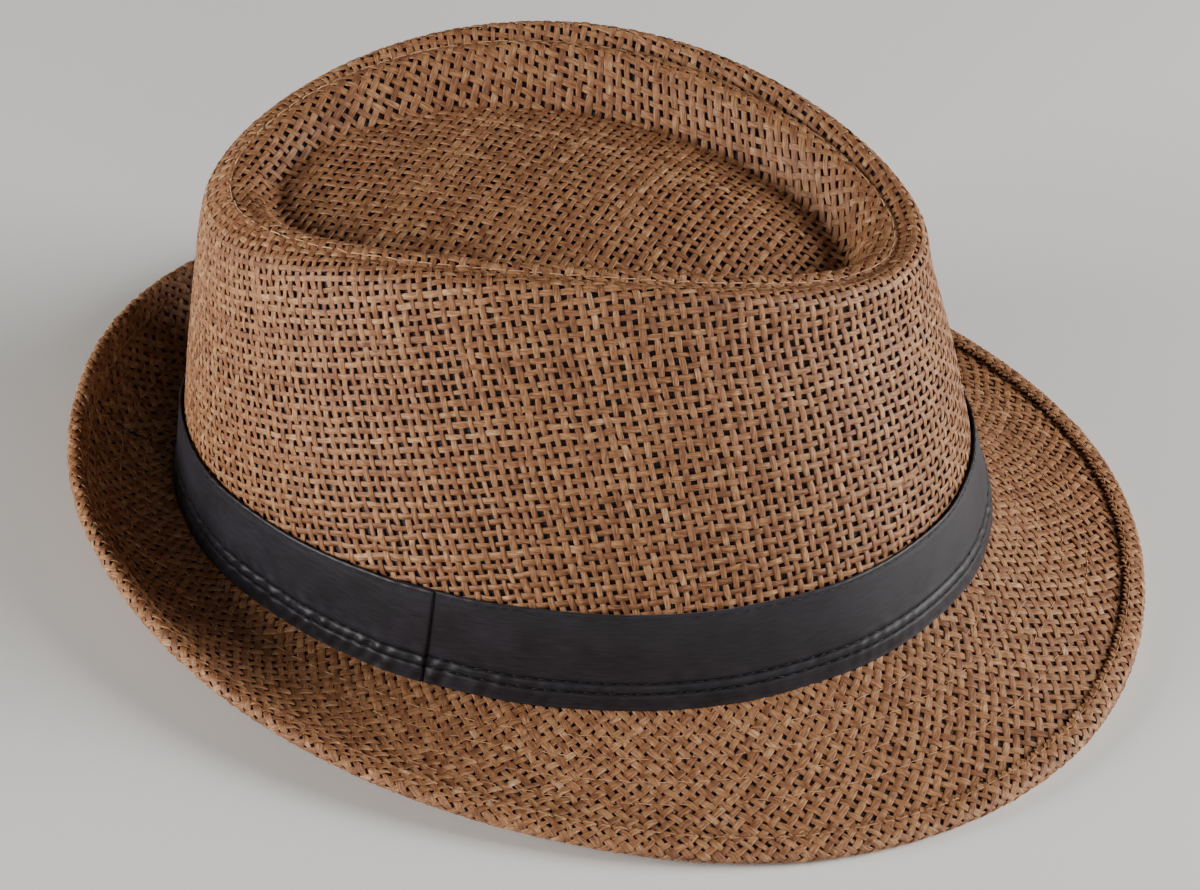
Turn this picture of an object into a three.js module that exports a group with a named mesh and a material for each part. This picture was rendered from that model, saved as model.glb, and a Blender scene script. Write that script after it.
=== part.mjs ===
// Straw fedora with a short brim, a pinched teardrop crown and a satin ribbon.
//
// Units are millimetres and +Z is up.  The hat faces -Y and is the same on both sides of
// the plane x = 0.  Every ring of the hat is a function of one angle: 0 at the front,
// 90 degrees at the wearer's left (+X) and 180 degrees at the back.
// The pieces are drawn in the wearer's frame, whose z = 0 is the seam line of brim and
// crown, and the whole hat is then tipped back to the pose in which it rests on a table.

import * as THREE from 'three';

// ---------------------------------------------------------------- driving dimensions

const RING_STEPS = 64; // facets round every ring
const GAP = 0.3; // clearance between neighbouring pieces

// A ring value is mean + nod * cos(angle) + saddle * cos(2 * angle).
const HEAD = { halfLength: 105, halfWidth: 86.5, egg: 0.042 }; // at the ribbon's lower edge
const HEAD_SEAM_HEIGHT = { mean: -0.2, nod: -2.8, saddle: 1.9 };

const CROWN_WALL = 1.8; // laminated straw cloth
const TOP_SEAM = { halfLength: 81.4, halfWidth: 52.8, shiftBack: 4.3, taper: 0.08 };
const TOP_SEAM_HEIGHT = { mean: 91, nod: -3.8, saddle: -7.1 };
const SHOULDER_REACH = { mean: 8, nod: 1.7, saddle: -0.3 }; // from the top seam outwards
const SHOULDER_LIFT = { mean: 0, nod: 1.4, saddle: -0.5 }; // of the rim's crest
const WALL_BULGE = 0.6; // how far the wall swells halfway up
const DENT_REACH = 12; // from the top seam in to the crease round the dent's floor
const DENT_DEPTH = { mean: 9.4, nod: 1.9, saddle: -2.6 }; // of the crease below the seam
const DENT_FLOOR_HEIGHT = 89.5; // middle of the dent's domed floor

const BRIM_WALL = 1.2;
const COLLAR_HEIGHT = 8; // the brim's seam allowance, turned up inside the crown
const BRIM_SECTIONS = [
  // slope: of the straight line from root to edge, curl: turn of the cloth along it
  { angle: 0, width: 43.8, slope: -26.4, curl: 8 },
  { angle: 30, width: 46.2, slope: -23, curl: 8 },
  { angle: 60, width: 46, slope: -14, curl: 14 },
  { angle: 90, width: 41.8, slope: 0, curl: 26 },
  { angle: 120, width: 39, slope: 16, curl: 48 },
  { angle: 150, width: 34.6, slope: 33, curl: 74 },
  { angle: 180, width: 32, slope: 44, curl: 88 },
];

const BINDING_WALL = 1; // the folded strip round the brim's edge
const BINDING_WIDTH = 7;

const RIBBON_WALL = 1; // satin ribbon with its folded edge
const RIBBON_TOP_INSET = { side: 3.8, front: 6.5, back: 3.6 };
const RIBBON_HEIGHT = { mean: 23.9, nod: 0.6, saddle: -2.3 };
const RIBBON_LIP_HEIGHT = 5.5; // the stitched lower edge that flares over the brim
const RIBBON_LIP_FLARE = 2;

const REST_TILT = 6.3; // the whole hat leans back by this much when it lies on a table

// ---------------------------------------------------------------- materials

const cloth = (name, color) => {
  const material = new THREE.MeshStandardMaterial({ color, roughness: 0.85, metalness: 0 });
  material.name = name;
  return material;
};
const crownStraw = cloth('crown_straw', 0x8f6448);
const tipStraw = cloth('tip_straw', 0x86593f);
const brimStraw = cloth('brim_straw', 0x855a41);
const bindingStraw = cloth('binding_straw', 0x7a4f39);
const satin = new THREE.MeshStandardMaterial({ color: 0x29272c, roughness: 0.45, metalness: 0 });
satin.name = 'black_satin';

// ---------------------------------------------------------------- rings of the hat

const radians = THREE.MathUtils.degToRad;

/** Value of a { mean, nod, saddle } wave at an angle. */
function wave({ mean, nod, saddle }, angle) {
  return mean + nod * Math.cos(angle) + saddle * Math.cos(2 * angle);
}

/** A point on the line where the brim leaves the crown. */
function headSeam(angle) {
  const x = HEAD.halfWidth * Math.sin(angle) * (1 + HEAD.egg * Math.cos(angle));
  const y = -HEAD.halfLength * Math.cos(angle);
  return new THREE.Vector3(x, y, wave(HEAD_SEAM_HEIGHT, angle));
}

/** A point on the seam that runs along the top of the crown's rim. */
function topSeam(angle) {
  const narrowing = 1 - TOP_SEAM.taper * Math.cos(angle);
  const x = TOP_SEAM.halfWidth * Math.sin(angle) * narrowing;
  const y = TOP_SEAM.shiftBack - TOP_SEAM.halfLength * Math.cos(angle);
  return new THREE.Vector3(x, y, wave(TOP_SEAM_HEIGHT, angle));
}

/** Horizontal direction that points away from the hat, square to a ring. */
function outward(ring, angle) {
  const step = 0.01;
  const along = ring(angle + step).sub(ring(angle - step));
  return new THREE.Vector3(along.y, -along.x, 0).normalize();
}

/** A point set off from a ring: out is horizontal, up is vertical. */
function beside(ring, angle, out, up) {
  const point = ring(angle).addScaledVector(outward(ring, angle), out);
  point.z += up;
  return point;
}

/** Upper edge of the ribbon. */
function ribbonTop(angle) {
  const { side, front, back } = RIBBON_TOP_INSET;
  const forward = Math.cos(angle);
  const endInset = forward > 0 ? front : back;
  const inset = THREE.MathUtils.lerp(side, endInset, forward * forward);
  return beside(headSeam, angle, -inset, wave(RIBBON_HEIGHT, angle));
}

// ---------------------------------------------------------------- brim section

/** Width, slope and curl of the brim at any angle, read smoothly from the table. */
function brimSection(angle) {
  const last = BRIM_SECTIONS.length - 1;
  const turns = Math.abs(Math.atan2(Math.sin(angle), Math.cos(angle))) / Math.PI;
  const place = turns * last;
  const index = Math.min(Math.floor(place), last - 1);
  const part = place - index;
  const read = (column) => {
    const value = (row) => BRIM_SECTIONS[last - Math.abs(last - Math.abs(row))][column];
    const [before, from, to, after] = [-1, 0, 1, 2].map((shift) => value(index + shift));
    const leave = (to - before) / 2;
    const arrive = (after - from) / 2;
    const ease = part * part * (3 - 2 * part);
    const bend = part * (1 - part) * (leave * (1 - part) - arrive * part);
    return from + (to - from) * ease + bend;
  };
  const start = radians(read('slope') - read('curl') / 2);
  return { width: read('width'), start, curl: radians(read('curl')) };
}

/** A point of the brim: run along its upper face from the root, lift square to that face. */
function brimPoint(angle, run, lift) {
  const { width, start, curl } = brimSection(angle);
  const turned = start + (curl * run) / width;
  const radius = width / curl;
  const out = radius * (Math.sin(turned) - Math.sin(start)) - lift * Math.sin(turned);
  const up = radius * (Math.cos(start) - Math.cos(turned)) + lift * Math.cos(turned);
  return beside(headSeam, angle, out, up - 2 * GAP);
}

// ---------------------------------------------------------------- solids

const ringAngles = Array.from({ length: RING_STEPS }, (_, step) => {
  return ((step + 0.5) * 2 * Math.PI) / RING_STEPS;
});

/** Points a thickness behind the grid of a skin; pole says that its last point is shared. */
function innerSkin(skin, thickness, pole) {
  return skin.map((row, turn) => {
    const next = skin[(turn + 1) % skin.length];
    const previous = skin[(turn + skin.length - 1) % skin.length];
    return row.map((point, index) => {
      const after = row[Math.min(index + 1, row.length - 1)];
      const before = row[Math.max(index - 1, 0)];
      const along = after.clone().sub(before);
      const around = next[index].clone().sub(previous[index]);
      const atPole = pole && index === row.length - 1;
      const normal = atPole ? new THREE.Vector3(0, 0, 1) : around.cross(along).normalize();
      return point.clone().addScaledVector(normal, -thickness);
    });
  });
}

/** Two triangles over a four-cornered face, split along its shorter diagonal. */
function quad(points, a, b, c, d) {
  const split = points[a].distanceTo(points[c]) <= points[b].distanceTo(points[d]);
  return split ? [a, b, c, a, c, d] : [a, b, d, b, c, d];
}

function solidFrom(points, triangles) {
  const geometry = new THREE.BufferGeometry().setFromPoints(points);
  geometry.setIndex(triangles);
  geometry.computeVertexNormals();
  return geometry;
}

/** A ring-shaped solid: one closed section, counter-clockwise, for each angle. */
function ringSolid(sections) {
  const size = sections[0].length;
  const points = sections.flat();
  const triangles = [];
  sections.forEach((_, turn) => {
    const here = turn * size;
    const next = ((turn + 1) % sections.length) * size;
    for (let side = 0; side < size; side += 1) {
      const other = (side + 1) % size;
      triangles.push(...quad(points, here + side, next + side, next + other, here + other));
    }
  });
  return solidFrom(points, triangles);
}

/** A dish-shaped solid: each section runs from the pole of one face to that of the other. */
function dishSolid(sections) {
  const size = sections[0].length - 2;
  const rims = sections.map((section) => section.slice(1, -1));
  const points = [...rims.flat(), sections[0][0], sections[0][size + 1]];
  const [firstPole, lastPole] = [points.length - 2, points.length - 1];
  const triangles = [];
  sections.forEach((_, turn) => {
    const here = turn * size;
    const next = ((turn + 1) % sections.length) * size;
    triangles.push(firstPole, next, here);
    for (let side = 0; side < size - 1; side += 1) {
      triangles.push(...quad(points, here + side, next + side, next + side + 1, here + side + 1));
    }
    triangles.push(here + size - 1, next + size - 1, lastPole);
  });
  return solidFrom(points, triangles);
}

/** A wall with a skin in front and an even thickness behind it. */
function wallSolid(skin, thickness) {
  const back = innerSkin(skin, thickness, false);
  return ringSolid(skin.map((row, turn) => [...row, ...back[turn].reverse()]));
}

/** Points of a smooth curve at the given places, counted in its control points. */
function sample(controls, places) {
  const curve = new THREE.CatmullRomCurve3(controls, false, 'centripetal');
  return places.map((place) => curve.getPoint(place / (controls.length - 1)));
}

/** Distance from the seam line in to the crown wall's outer face at its foot. */
const WALL_FOOT_INSET = RIBBON_LIP_FLARE + RIBBON_WALL + GAP;
const WALL_FOOT_HEIGHT = 1.2;

function crownSide() {
  const ribbonDepth = RIBBON_WALL + GAP;
  const skin = ringAngles.map((angle) => {
    const reach = wave(SHOULDER_REACH, angle);
    const foot = beside(headSeam, angle, -WALL_FOOT_INSET, WALL_FOOT_HEIGHT);
    const underRibbon = beside(ribbonTop, angle, -ribbonDepth, 0);
    const shoulder = beside(topSeam, angle, reach, -0.9 * reach);
    const middle = underRibbon.clone().lerp(shoulder, 0.5);
    middle.addScaledVector(outward(topSeam, angle), WALL_BULGE);
    const lift = wave(SHOULDER_LIFT, angle);
    const brow = beside(topSeam, angle, 0.84 * reach, lift - 0.1 * reach);
    const crest = beside(topSeam, angle, 0.48 * reach, lift + 0.17 * reach);
    const seam = beside(topSeam, angle, GAP / 2, 0);
    const controls = [foot, underRibbon, middle, shoulder, brow, crest, seam];
    return sample(controls, [0, 1, 1.5, 2, 2.6, 3, 3.5, 4, 4.5, 5, 6]);
  });
  return wallSolid(skin, CROWN_WALL);
}

// Inner face of the rim: in and down are shares of the dent's reach and depth.
const DENT_PROFILE = [
  { in: 0.14, down: -0.07 },
  { in: 0.3, down: -0.08 },
  { in: 0.47, down: 0.06 },
  { in: 0.68, down: 0.4 },
  { in: 0.9, down: 0.84 },
  { in: 1, down: 1 },
  { in: 1.14, down: 1.03 },
];
const DENT_FLOOR_SHARES = [0.66, 0.33]; // rings of the floor, from its edge to its middle

function crownTip() {
  const middle = new THREE.Vector3(0, TOP_SEAM.shiftBack, DENT_FLOOR_HEIGHT);
  const skin = ringAngles.map((angle) => {
    const depth = wave(DENT_DEPTH, angle);
    const seam = beside(topSeam, angle, -GAP / 2, 0);
    const wall = DENT_PROFILE.map((row) => {
      return beside(topSeam, angle, -row.in * DENT_REACH, -row.down * depth);
    });
    const edge = wall[wall.length - 1];
    const floor = DENT_FLOOR_SHARES.map((share) => {
      const point = middle.clone().lerp(edge, share);
      point.z = THREE.MathUtils.lerp(middle.z, edge.z, share * share);
      return point;
    });
    return [seam, ...wall, ...floor, middle];
  });
  const back = innerSkin(skin, CROWN_WALL, true);
  return dishSolid(skin.map((row, turn) => [...back[turn].reverse(), ...row]));
}

function brim() {
  const collarInset = WALL_FOOT_INSET + CROWN_WALL + 2 * GAP;
  const skin = ringAngles.map((angle) => {
    const { width } = brimSection(angle);
    const clothWidth = width - BINDING_WALL - 2 * GAP;
    const runs = [1, 0.83, 0.66, 0.5, 0.34, 0.17, 0];
    const face = runs.map((share) => brimPoint(angle, share * clothWidth, 0));
    const collar = [
      beside(headSeam, angle, -collarInset + 1.2, -2 * GAP),
      beside(headSeam, angle, -collarInset, 1.5),
      beside(headSeam, angle, -collarInset - 1, COLLAR_HEIGHT),
    ];
    return [...face, ...collar];
  });
  return wallSolid(skin, BRIM_WALL);
}

function brimBinding() {
  const noseRadius = BINDING_WALL + GAP + BRIM_WALL / 2;
  const centre = -BRIM_WALL / 2; // lift of the brim's middle plane
  const sections = ringAngles.map((angle) => {
    const { width } = brimSection(angle);
    const noseRun = width - noseRadius;
    const hemRun = width - BINDING_WIDTH;
    const midRun = (noseRun + hemRun) / 2;
    const nose = [-90, -45, 0, 45, 90].map((degrees) => {
      const run = noseRun + noseRadius * Math.cos(radians(degrees));
      return brimPoint(angle, run, centre + noseRadius * Math.sin(radians(degrees)));
    });
    const inside = noseRadius - BINDING_WALL;
    const pocketRun = width - BINDING_WALL;
    return [
      brimPoint(angle, hemRun, centre - noseRadius),
      brimPoint(angle, midRun, centre - noseRadius),
      ...nose,
      brimPoint(angle, midRun, centre + noseRadius),
      brimPoint(angle, hemRun, centre + noseRadius),
      brimPoint(angle, hemRun, centre + inside),
      brimPoint(angle, midRun, centre + inside),
      brimPoint(angle, pocketRun, centre + inside),
      brimPoint(angle, pocketRun, centre - inside),
      brimPoint(angle, midRun, centre - inside),
      brimPoint(angle, hemRun, centre - inside),
    ];
  });
  return ringSolid(sections);
}

function hatband() {
  const skin = ringAngles.map((angle) => {
    const lip = beside(headSeam, angle, -RIBBON_LIP_FLARE, RIBBON_LIP_HEIGHT);
    const top = ribbonTop(angle);
    return [
      beside(headSeam, angle, 0, 0.2),
      beside(headSeam, angle, -0.6 * RIBBON_LIP_FLARE, 0.5 * RIBBON_LIP_HEIGHT),
      lip,
      lip.clone().lerp(top, 0.5),
      top,
    ];
  });
  return wallSolid(skin, RIBBON_WALL);
}

// ---------------------------------------------------------------- assembly

const pieces = [
  { name: 'crown_side', geometry: crownSide(), material: crownStraw },
  { name: 'crown_tip', geometry: crownTip(), material: tipStraw },
  { name: 'brim', geometry: brim(), material: brimStraw },
  { name: 'brim_binding', geometry: brimBinding(), material: bindingStraw },
  { name: 'hatband', geometry: hatband(), material: satin },
];

const hat = new THREE.Group();
for (const { name, geometry, material } of pieces) {
  const mesh = new THREE.Mesh(geometry, material);
  mesh.name = name;
  hat.add(mesh);
}
hat.rotation.x = -radians(REST_TILT);

// The origin is the middle of the hat's footprint, at the height of the table.
const part = new THREE.Group();
part.add(hat);
part.updateMatrixWorld(true);
const reach = new THREE.Box3().setFromObject(hat, true);
const footprint = reach.getCenter(new THREE.Vector3());
hat.position.set(-footprint.x, -footprint.y, -reach.min.z);
part.updateMatrixWorld(true);

export default part;
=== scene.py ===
"""Straw fedora: the woven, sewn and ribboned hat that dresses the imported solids.

Sizes are millimetres in the wearer's frame, whose z = 0 is the seam line of brim and
crown.  Every ring of the hat is a function of one angle: 0 at the front (-Y), 90 degrees
at the wearer's left (+X) and 180 degrees at the back.  `HatForm.to_rest` turns points
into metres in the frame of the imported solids, in which the hat leans back on the table.
"""

import sys
import logging
import math
from dataclasses import dataclass, field, replace
from enum import Enum
from typing import Callable

import bmesh
import bpy
import numpy as np
from mathutils import Matrix, Vector


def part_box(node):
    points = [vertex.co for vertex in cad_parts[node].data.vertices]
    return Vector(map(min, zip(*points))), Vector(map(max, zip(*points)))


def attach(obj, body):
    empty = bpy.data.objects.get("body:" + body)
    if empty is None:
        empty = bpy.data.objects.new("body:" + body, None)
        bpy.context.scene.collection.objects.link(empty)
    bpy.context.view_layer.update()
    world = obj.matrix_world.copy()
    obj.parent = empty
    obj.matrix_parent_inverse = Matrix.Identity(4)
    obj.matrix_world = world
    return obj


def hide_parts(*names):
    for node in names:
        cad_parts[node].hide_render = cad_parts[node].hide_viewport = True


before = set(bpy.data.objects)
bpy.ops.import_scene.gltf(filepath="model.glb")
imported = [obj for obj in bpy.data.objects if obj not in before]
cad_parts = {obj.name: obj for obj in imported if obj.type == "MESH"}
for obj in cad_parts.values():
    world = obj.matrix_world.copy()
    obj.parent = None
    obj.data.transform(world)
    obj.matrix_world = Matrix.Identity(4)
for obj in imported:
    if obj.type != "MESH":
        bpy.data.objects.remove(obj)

log = logging.getLogger("straw_fedora")

MM = 0.001
GAP = 0.3  # clearance between neighbouring pieces of the solids
FULL_TURN = 2 * math.pi
NUDGE = 0.01  # small turn over which directions are measured, in radians
RISE = 0.1  # small height over which directions are measured
RING_STEPS = 720  # steps of a ring that is measured along its length

Array = np.ndarray
ClothMap = Callable[[Array, Array], tuple[Array, Array, Array]]
RingWaves = list[tuple[int, float, float]]


# ---------------------------------------------------------------- form of the hat


@dataclass(frozen=True)
class Wave:
    """A ring value: mean + nod * cos(angle) + saddle * cos(2 * angle)."""

    mean: float
    nod: float
    saddle: float

    def at(self, angle: Array) -> Array:
        """Value of the wave at each angle."""
        return self.mean + self.nod * np.cos(angle) + self.saddle * np.cos(2 * angle)


@dataclass(frozen=True)
class BrimSection:
    """Section of the brim at one angle, in degrees, and its cloth's width."""

    angle: float
    width: float
    slope: float
    curl: float


@dataclass(frozen=True)
class HatForm:
    """The rings and sections that all pieces of the hat are drawn from."""

    half_length: float = 105.0
    half_width: float = 86.5
    egg: float = 0.042
    head_seam_height: Wave = Wave(-0.2, -2.8, 1.9)
    top_half_length: float = 81.4
    top_half_width: float = 52.8
    top_shift_back: float = 5.3
    top_taper: float = 0.08
    top_seam_height: Wave = Wave(91.0, -3.8, -7.1)
    shoulder_reach: Wave = Wave(7.9, 1.2, -0.6)
    shoulder_lift: Wave = Wave(-0.35, 1.5, -1.15)
    # points of the shoulder's section, as shares of its reach outwards and upwards
    rim_crest: tuple[float, float] = (0.48, 0.17)
    rim_brow: tuple[float, float] = (0.84, -0.1)
    shoulder_foot: tuple[float, float] = (1.0, -0.9)
    rim_lean: float = 1.2  # wear: the rim's crest stands higher on the wearer's left
    wall_bulge: float = 0.6
    dent_reach: float = 12.0
    dent_depth: Wave = Wave(9.4, 1.9, -2.6)
    dent_floor_height: float = 89.5
    tip_grain: float = -17.0  # turn of the cloth's grain on the dent's floor
    brim_wall: float = 1.2
    brim_sections: tuple[BrimSection, ...] = (
        BrimSection(0, 43.8, -26.4, 8),
        BrimSection(30, 46.2, -23, 8),
        BrimSection(60, 46, -14, 14),
        BrimSection(90, 41.8, 0, 26),
        BrimSection(120, 39, 16, 48),
        BrimSection(150, 34.6, 33, 74),
        BrimSection(180, 32, 44, 88),
    )
    binding_wall: float = 1.0
    binding_width: float = 7.0
    ribbon_wall: float = 1.0
    ribbon_side_inset: float = 3.8
    ribbon_front_inset: float = 6.5
    ribbon_back_inset: float = 3.6
    ribbon_height: Wave = Wave(23.9, 0.6, -2.3)
    ribbon_lip_height: float = 5.5
    ribbon_lip_flare: float = 2.0
    wall_foot_height: float = 1.2
    rest_tilt: float = 6.3
    # inner face of the rim: shares of the dent's reach inwards and depth downwards
    dent_profile: tuple[tuple[float, float], ...] = (
        (0.14, -0.07),
        (0.3, -0.08),
        (0.47, 0.06),
        (0.68, 0.4),
        (0.88, 0.86),
        (1.0, 1.05),
        (1.14, 1.03),
    )
    dent_floor_shares: tuple[float, ...] = (0.66, 0.33)

    def head_seam(self, angle: Array) -> Array:
        """Points on the line where the brim leaves the crown."""
        x = self.half_width * np.sin(angle) * (1 + self.egg * np.cos(angle))
        y = -self.half_length * np.cos(angle)
        return np.stack([x, y, self.head_seam_height.at(angle)], axis=-1)

    def top_seam(self, angle: Array) -> Array:
        """Points on the seam along the top of the crown's rim."""
        narrowing = 1 - self.top_taper * np.cos(angle)
        x = self.top_half_width * np.sin(angle) * narrowing
        y = self.top_shift_back - self.top_half_length * np.cos(angle)
        return np.stack([x, y, self.top_seam_height.at(angle)], axis=-1)

    def outward(self, ring: Callable[[Array], Array], angle: Array) -> Array:
        """Horizontal directions that point away from the hat, square to a ring."""
        along = ring(angle + NUDGE) - ring(angle - NUDGE)
        flat = np.stack([along[..., 1], -along[..., 0], np.zeros_like(angle)], axis=-1)
        return unit(flat)

    def beside(
        self, ring: Callable[[Array], Array], angle: Array, out: Array, up: Array
    ) -> Array:
        """Points set off from a ring: out is horizontal, up is vertical."""
        angle = np.asarray(angle, float)
        out, up = np.broadcast_to(out, angle.shape), np.broadcast_to(up, angle.shape)
        point = ring(angle) + self.outward(ring, angle) * out[..., None]
        point[..., 2] += up
        return point

    def ribbon_top(self, angle: Array) -> Array:
        """Points on the ribbon's upper edge."""
        forward = np.cos(angle)
        end = np.where(forward > 0, self.ribbon_front_inset, self.ribbon_back_inset)
        inset = self.ribbon_side_inset + (end - self.ribbon_side_inset) * forward**2
        return self.beside(self.head_seam, angle, -inset, self.ribbon_height.at(angle))

    def brim_column(self, column: str, angle: Array) -> Array:
        """One column of the brim's table, read smoothly at each angle.

        Args:
            column: name of the field of BrimSection.
            angle: angles round the hat, in radians.

        Returns:
            The column's value at each angle.
        """
        values = np.array([getattr(row, column) for row in self.brim_sections], float)
        last = len(values) - 1
        turns = np.abs(np.arctan2(np.sin(angle), np.cos(angle))) / math.pi
        place = turns * last
        index = np.minimum(np.floor(place).astype(int), last - 1)
        part = place - index
        before, start, end, after = (
            values[last - np.abs(last - np.abs(index + shift))] for shift in (-1, 0, 1, 2)
        )
        leave, arrive = (end - before) / 2, (after - start) / 2
        ease = part * part * (3 - 2 * part)
        bend = part * (1 - part) * (leave * (1 - part) - arrive * part)
        return start + (end - start) * ease + bend

    def brim_width(self, angle: Array) -> Array:
        """Width of the brim's cloth with its binding, from root to edge."""
        return self.brim_column("width", angle)

    def brim_point(self, angle: Array, run: Array, lift: Array) -> Array:
        """Points of the brim.

        Args:
            angle: angles round the hat.
            run: distance along the upper face from the root.
            lift: height square to that face.

        Returns:
            Points in the wearer's frame.
        """
        width = self.brim_width(angle)
        curl = np.radians(self.brim_column("curl", angle))
        start = np.radians(self.brim_column("slope", angle)) - curl / 2
        turned = start + curl * run / width
        radius = width / curl
        out = radius * (np.sin(turned) - np.sin(start)) - lift * np.sin(turned)
        up = radius * (np.cos(start) - np.cos(turned)) + lift * np.cos(turned)
        return self.beside(self.head_seam, angle, out, up - 2 * GAP)

    def rest_turn(self) -> Array:
        """Rotation from the wearer's frame to that of the hat at rest."""
        return np.array(Matrix.Rotation(-math.radians(self.rest_tilt), 3, "X"))

    def binding_nose(self) -> float:
        """Radius of the binding's fold round the brim's edge."""
        return self.binding_wall + GAP + self.brim_wall / 2

    def rest_shift(self) -> Array:
        """Shift, in millimetres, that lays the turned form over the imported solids."""
        steps = 64
        angle = (np.arange(steps) + 0.5) * FULL_TURN / steps
        nose = self.binding_nose()
        rim = [
            self.brim_point(
                angle,
                self.brim_width(angle) - nose + nose * math.cos(math.radians(degrees)),
                -self.brim_wall / 2 + nose * math.sin(math.radians(degrees)),
            )
            for degrees in (-90, -45, 0, 45, 90)
        ]
        turned = np.concatenate(rim) @ self.rest_turn().T
        low, high = (np.array(corner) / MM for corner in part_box("brim_binding"))
        middle = (low + high - turned.min(0) - turned.max(0)) / 2
        return np.array([middle[0], middle[1], low[2] - turned[:, 2].min()])

    def to_rest(self, points: Array) -> Array:
        """Points of the wearer's frame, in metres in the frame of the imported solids."""
        return (points @ self.rest_turn().T + REST_SHIFT) * MM


def unit(vectors: Array) -> Array:
    """Vectors at length one; a vector of no length stays as it is."""
    length = np.linalg.norm(vectors, axis=-1, keepdims=True)
    return vectors / np.where(length > 1e-12, length, 1)


def hill(distance: Array, reach: float) -> Array:
    """A smooth hill: one at distance 0 and nearly nothing two reaches away."""
    return np.exp(-((distance / reach) ** 2))


def reached_along(points: Array) -> Array:
    """Length reached at each point of a line, from its first one."""
    steps = np.linalg.norm(np.diff(points, axis=0), axis=-1)
    return np.concatenate([[0], np.cumsum(steps)])


FORM = HatForm()
REST_SHIFT = FORM.rest_shift()
REST_TURN = FORM.rest_turn()


# ---------------------------------------------------------------- skins


def spline(controls: Array, places: Array) -> Array:
    """Centripetal curves through control points, one curve for each angle.

    Args:
        controls: points, as (control, angle, 3).
        places: places on the curve, counted in control points.

    Returns:
        Points, as (place, angle, 3).
    """
    ends = [2 * controls[0] - controls[1], *controls, 2 * controls[-1] - controls[-2]]
    rows = []
    for place in places:
        index = min(int(place), len(controls) - 2)
        part = place - index
        before, start, end, after = ends[index : index + 4]
        first, middle, last = (
            np.sqrt(np.linalg.norm(b - a, axis=-1, keepdims=True))
            for a, b in ((before, start), (start, end), (end, after))
        )
        leave = middle * (
            (start - before) / first - (end - before) / (first + middle) + (end - start) / middle
        )
        arrive = middle * (
            (end - start) / middle - (after - start) / (middle + last) + (after - end) / last
        )
        square = -3 * start + 3 * end - 2 * leave - arrive
        cube = 2 * start - 2 * end + leave + arrive
        rows.append(start + leave * part + square * part**2 + cube * part**3)
    return np.array(rows)


class Skin:
    """A face of the hat that cloth lies on, read by angle and by run along the cloth."""

    def read(self, angle: Array, run: Array) -> tuple[Array, Array]:
        """Points and outward normals in the wearer's frame."""
        raise NotImplementedError


class NetSkin(Skin):
    """A skin read from a fine net of points whose lines follow the cloth downhill."""

    TURN_STEPS = 512
    RUN_STEPS = 200
    LINE_STEPS = 241  # places worked out along each line before it is spaced evenly
    POLE_STEPS = 5  # last steps of the lines that share one normal where they meet

    def __init__(self, lines: Array, closed_end: bool = False) -> None:
        """Spaces the net evenly and works out its normals.

        Args:
            lines: points, as (place, angle, 3), for TURN_STEPS even angles.
            closed_end: whether all lines end in one shared point.
        """
        steps = np.linalg.norm(np.diff(lines, axis=0), axis=-1)
        reached = np.vstack([np.zeros(lines.shape[1]), np.cumsum(steps, axis=0)])
        self.lengths = reached[-1]
        share = np.linspace(0, 1, self.RUN_STEPS)
        self.net = np.empty((lines.shape[1], self.RUN_STEPS, 3))
        for turn in range(lines.shape[1]):
            for axis in range(3):
                places = share * self.lengths[turn]
                line = lines[:, turn, axis]
                self.net[turn, :, axis] = np.interp(places, reached[:, turn], line)
        around = np.roll(self.net, -1, axis=0) - np.roll(self.net, 1, axis=0)
        along = np.gradient(self.net, axis=1)
        self.normals = unit(np.cross(along, around))
        if closed_end:
            pole = unit(self.normals[:, -self.POLE_STEPS - 1].mean(axis=0))
            self.normals[:, -self.POLE_STEPS :] = pole

    def length_at(self, angle: Array) -> Array:
        """Length of the net's line at each angle."""
        place = np.asarray(angle) / FULL_TURN * self.TURN_STEPS
        index = np.floor(place).astype(int)
        part = place - index
        here = self.lengths[index % self.TURN_STEPS]
        return here + (self.lengths[(index + 1) % self.TURN_STEPS] - here) * part

    def read(self, angle: Array, run: Array) -> tuple[Array, Array]:
        """Points and outward normals, blended from the four nearest of the net."""
        turn = np.asarray(angle) / FULL_TURN * self.TURN_STEPS
        place = np.minimum(run / self.length_at(angle), 1) * (self.RUN_STEPS - 1)
        row = np.floor(turn).astype(int)
        column = np.clip(np.floor(place).astype(int), 0, self.RUN_STEPS - 2)
        down, side = (turn - row)[..., None], (place - column)[..., None]
        row, below = row % self.TURN_STEPS, (row + 1) % self.TURN_STEPS

        def blend(table: Array) -> Array:
            """Value of a table of the net's points, between the four nearest."""
            near = table[row, column] * (1 - side) + table[row, column + 1] * side
            far = table[below, column] * (1 - side) + table[below, column + 1] * side
            return near * (1 - down) + far * down

        return blend(self.net), unit(blend(self.normals))


def net_angles() -> Array:
    """The even angles of a NetSkin."""
    return np.arange(NetSkin.TURN_STEPS) * FULL_TURN / NetSkin.TURN_STEPS


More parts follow.
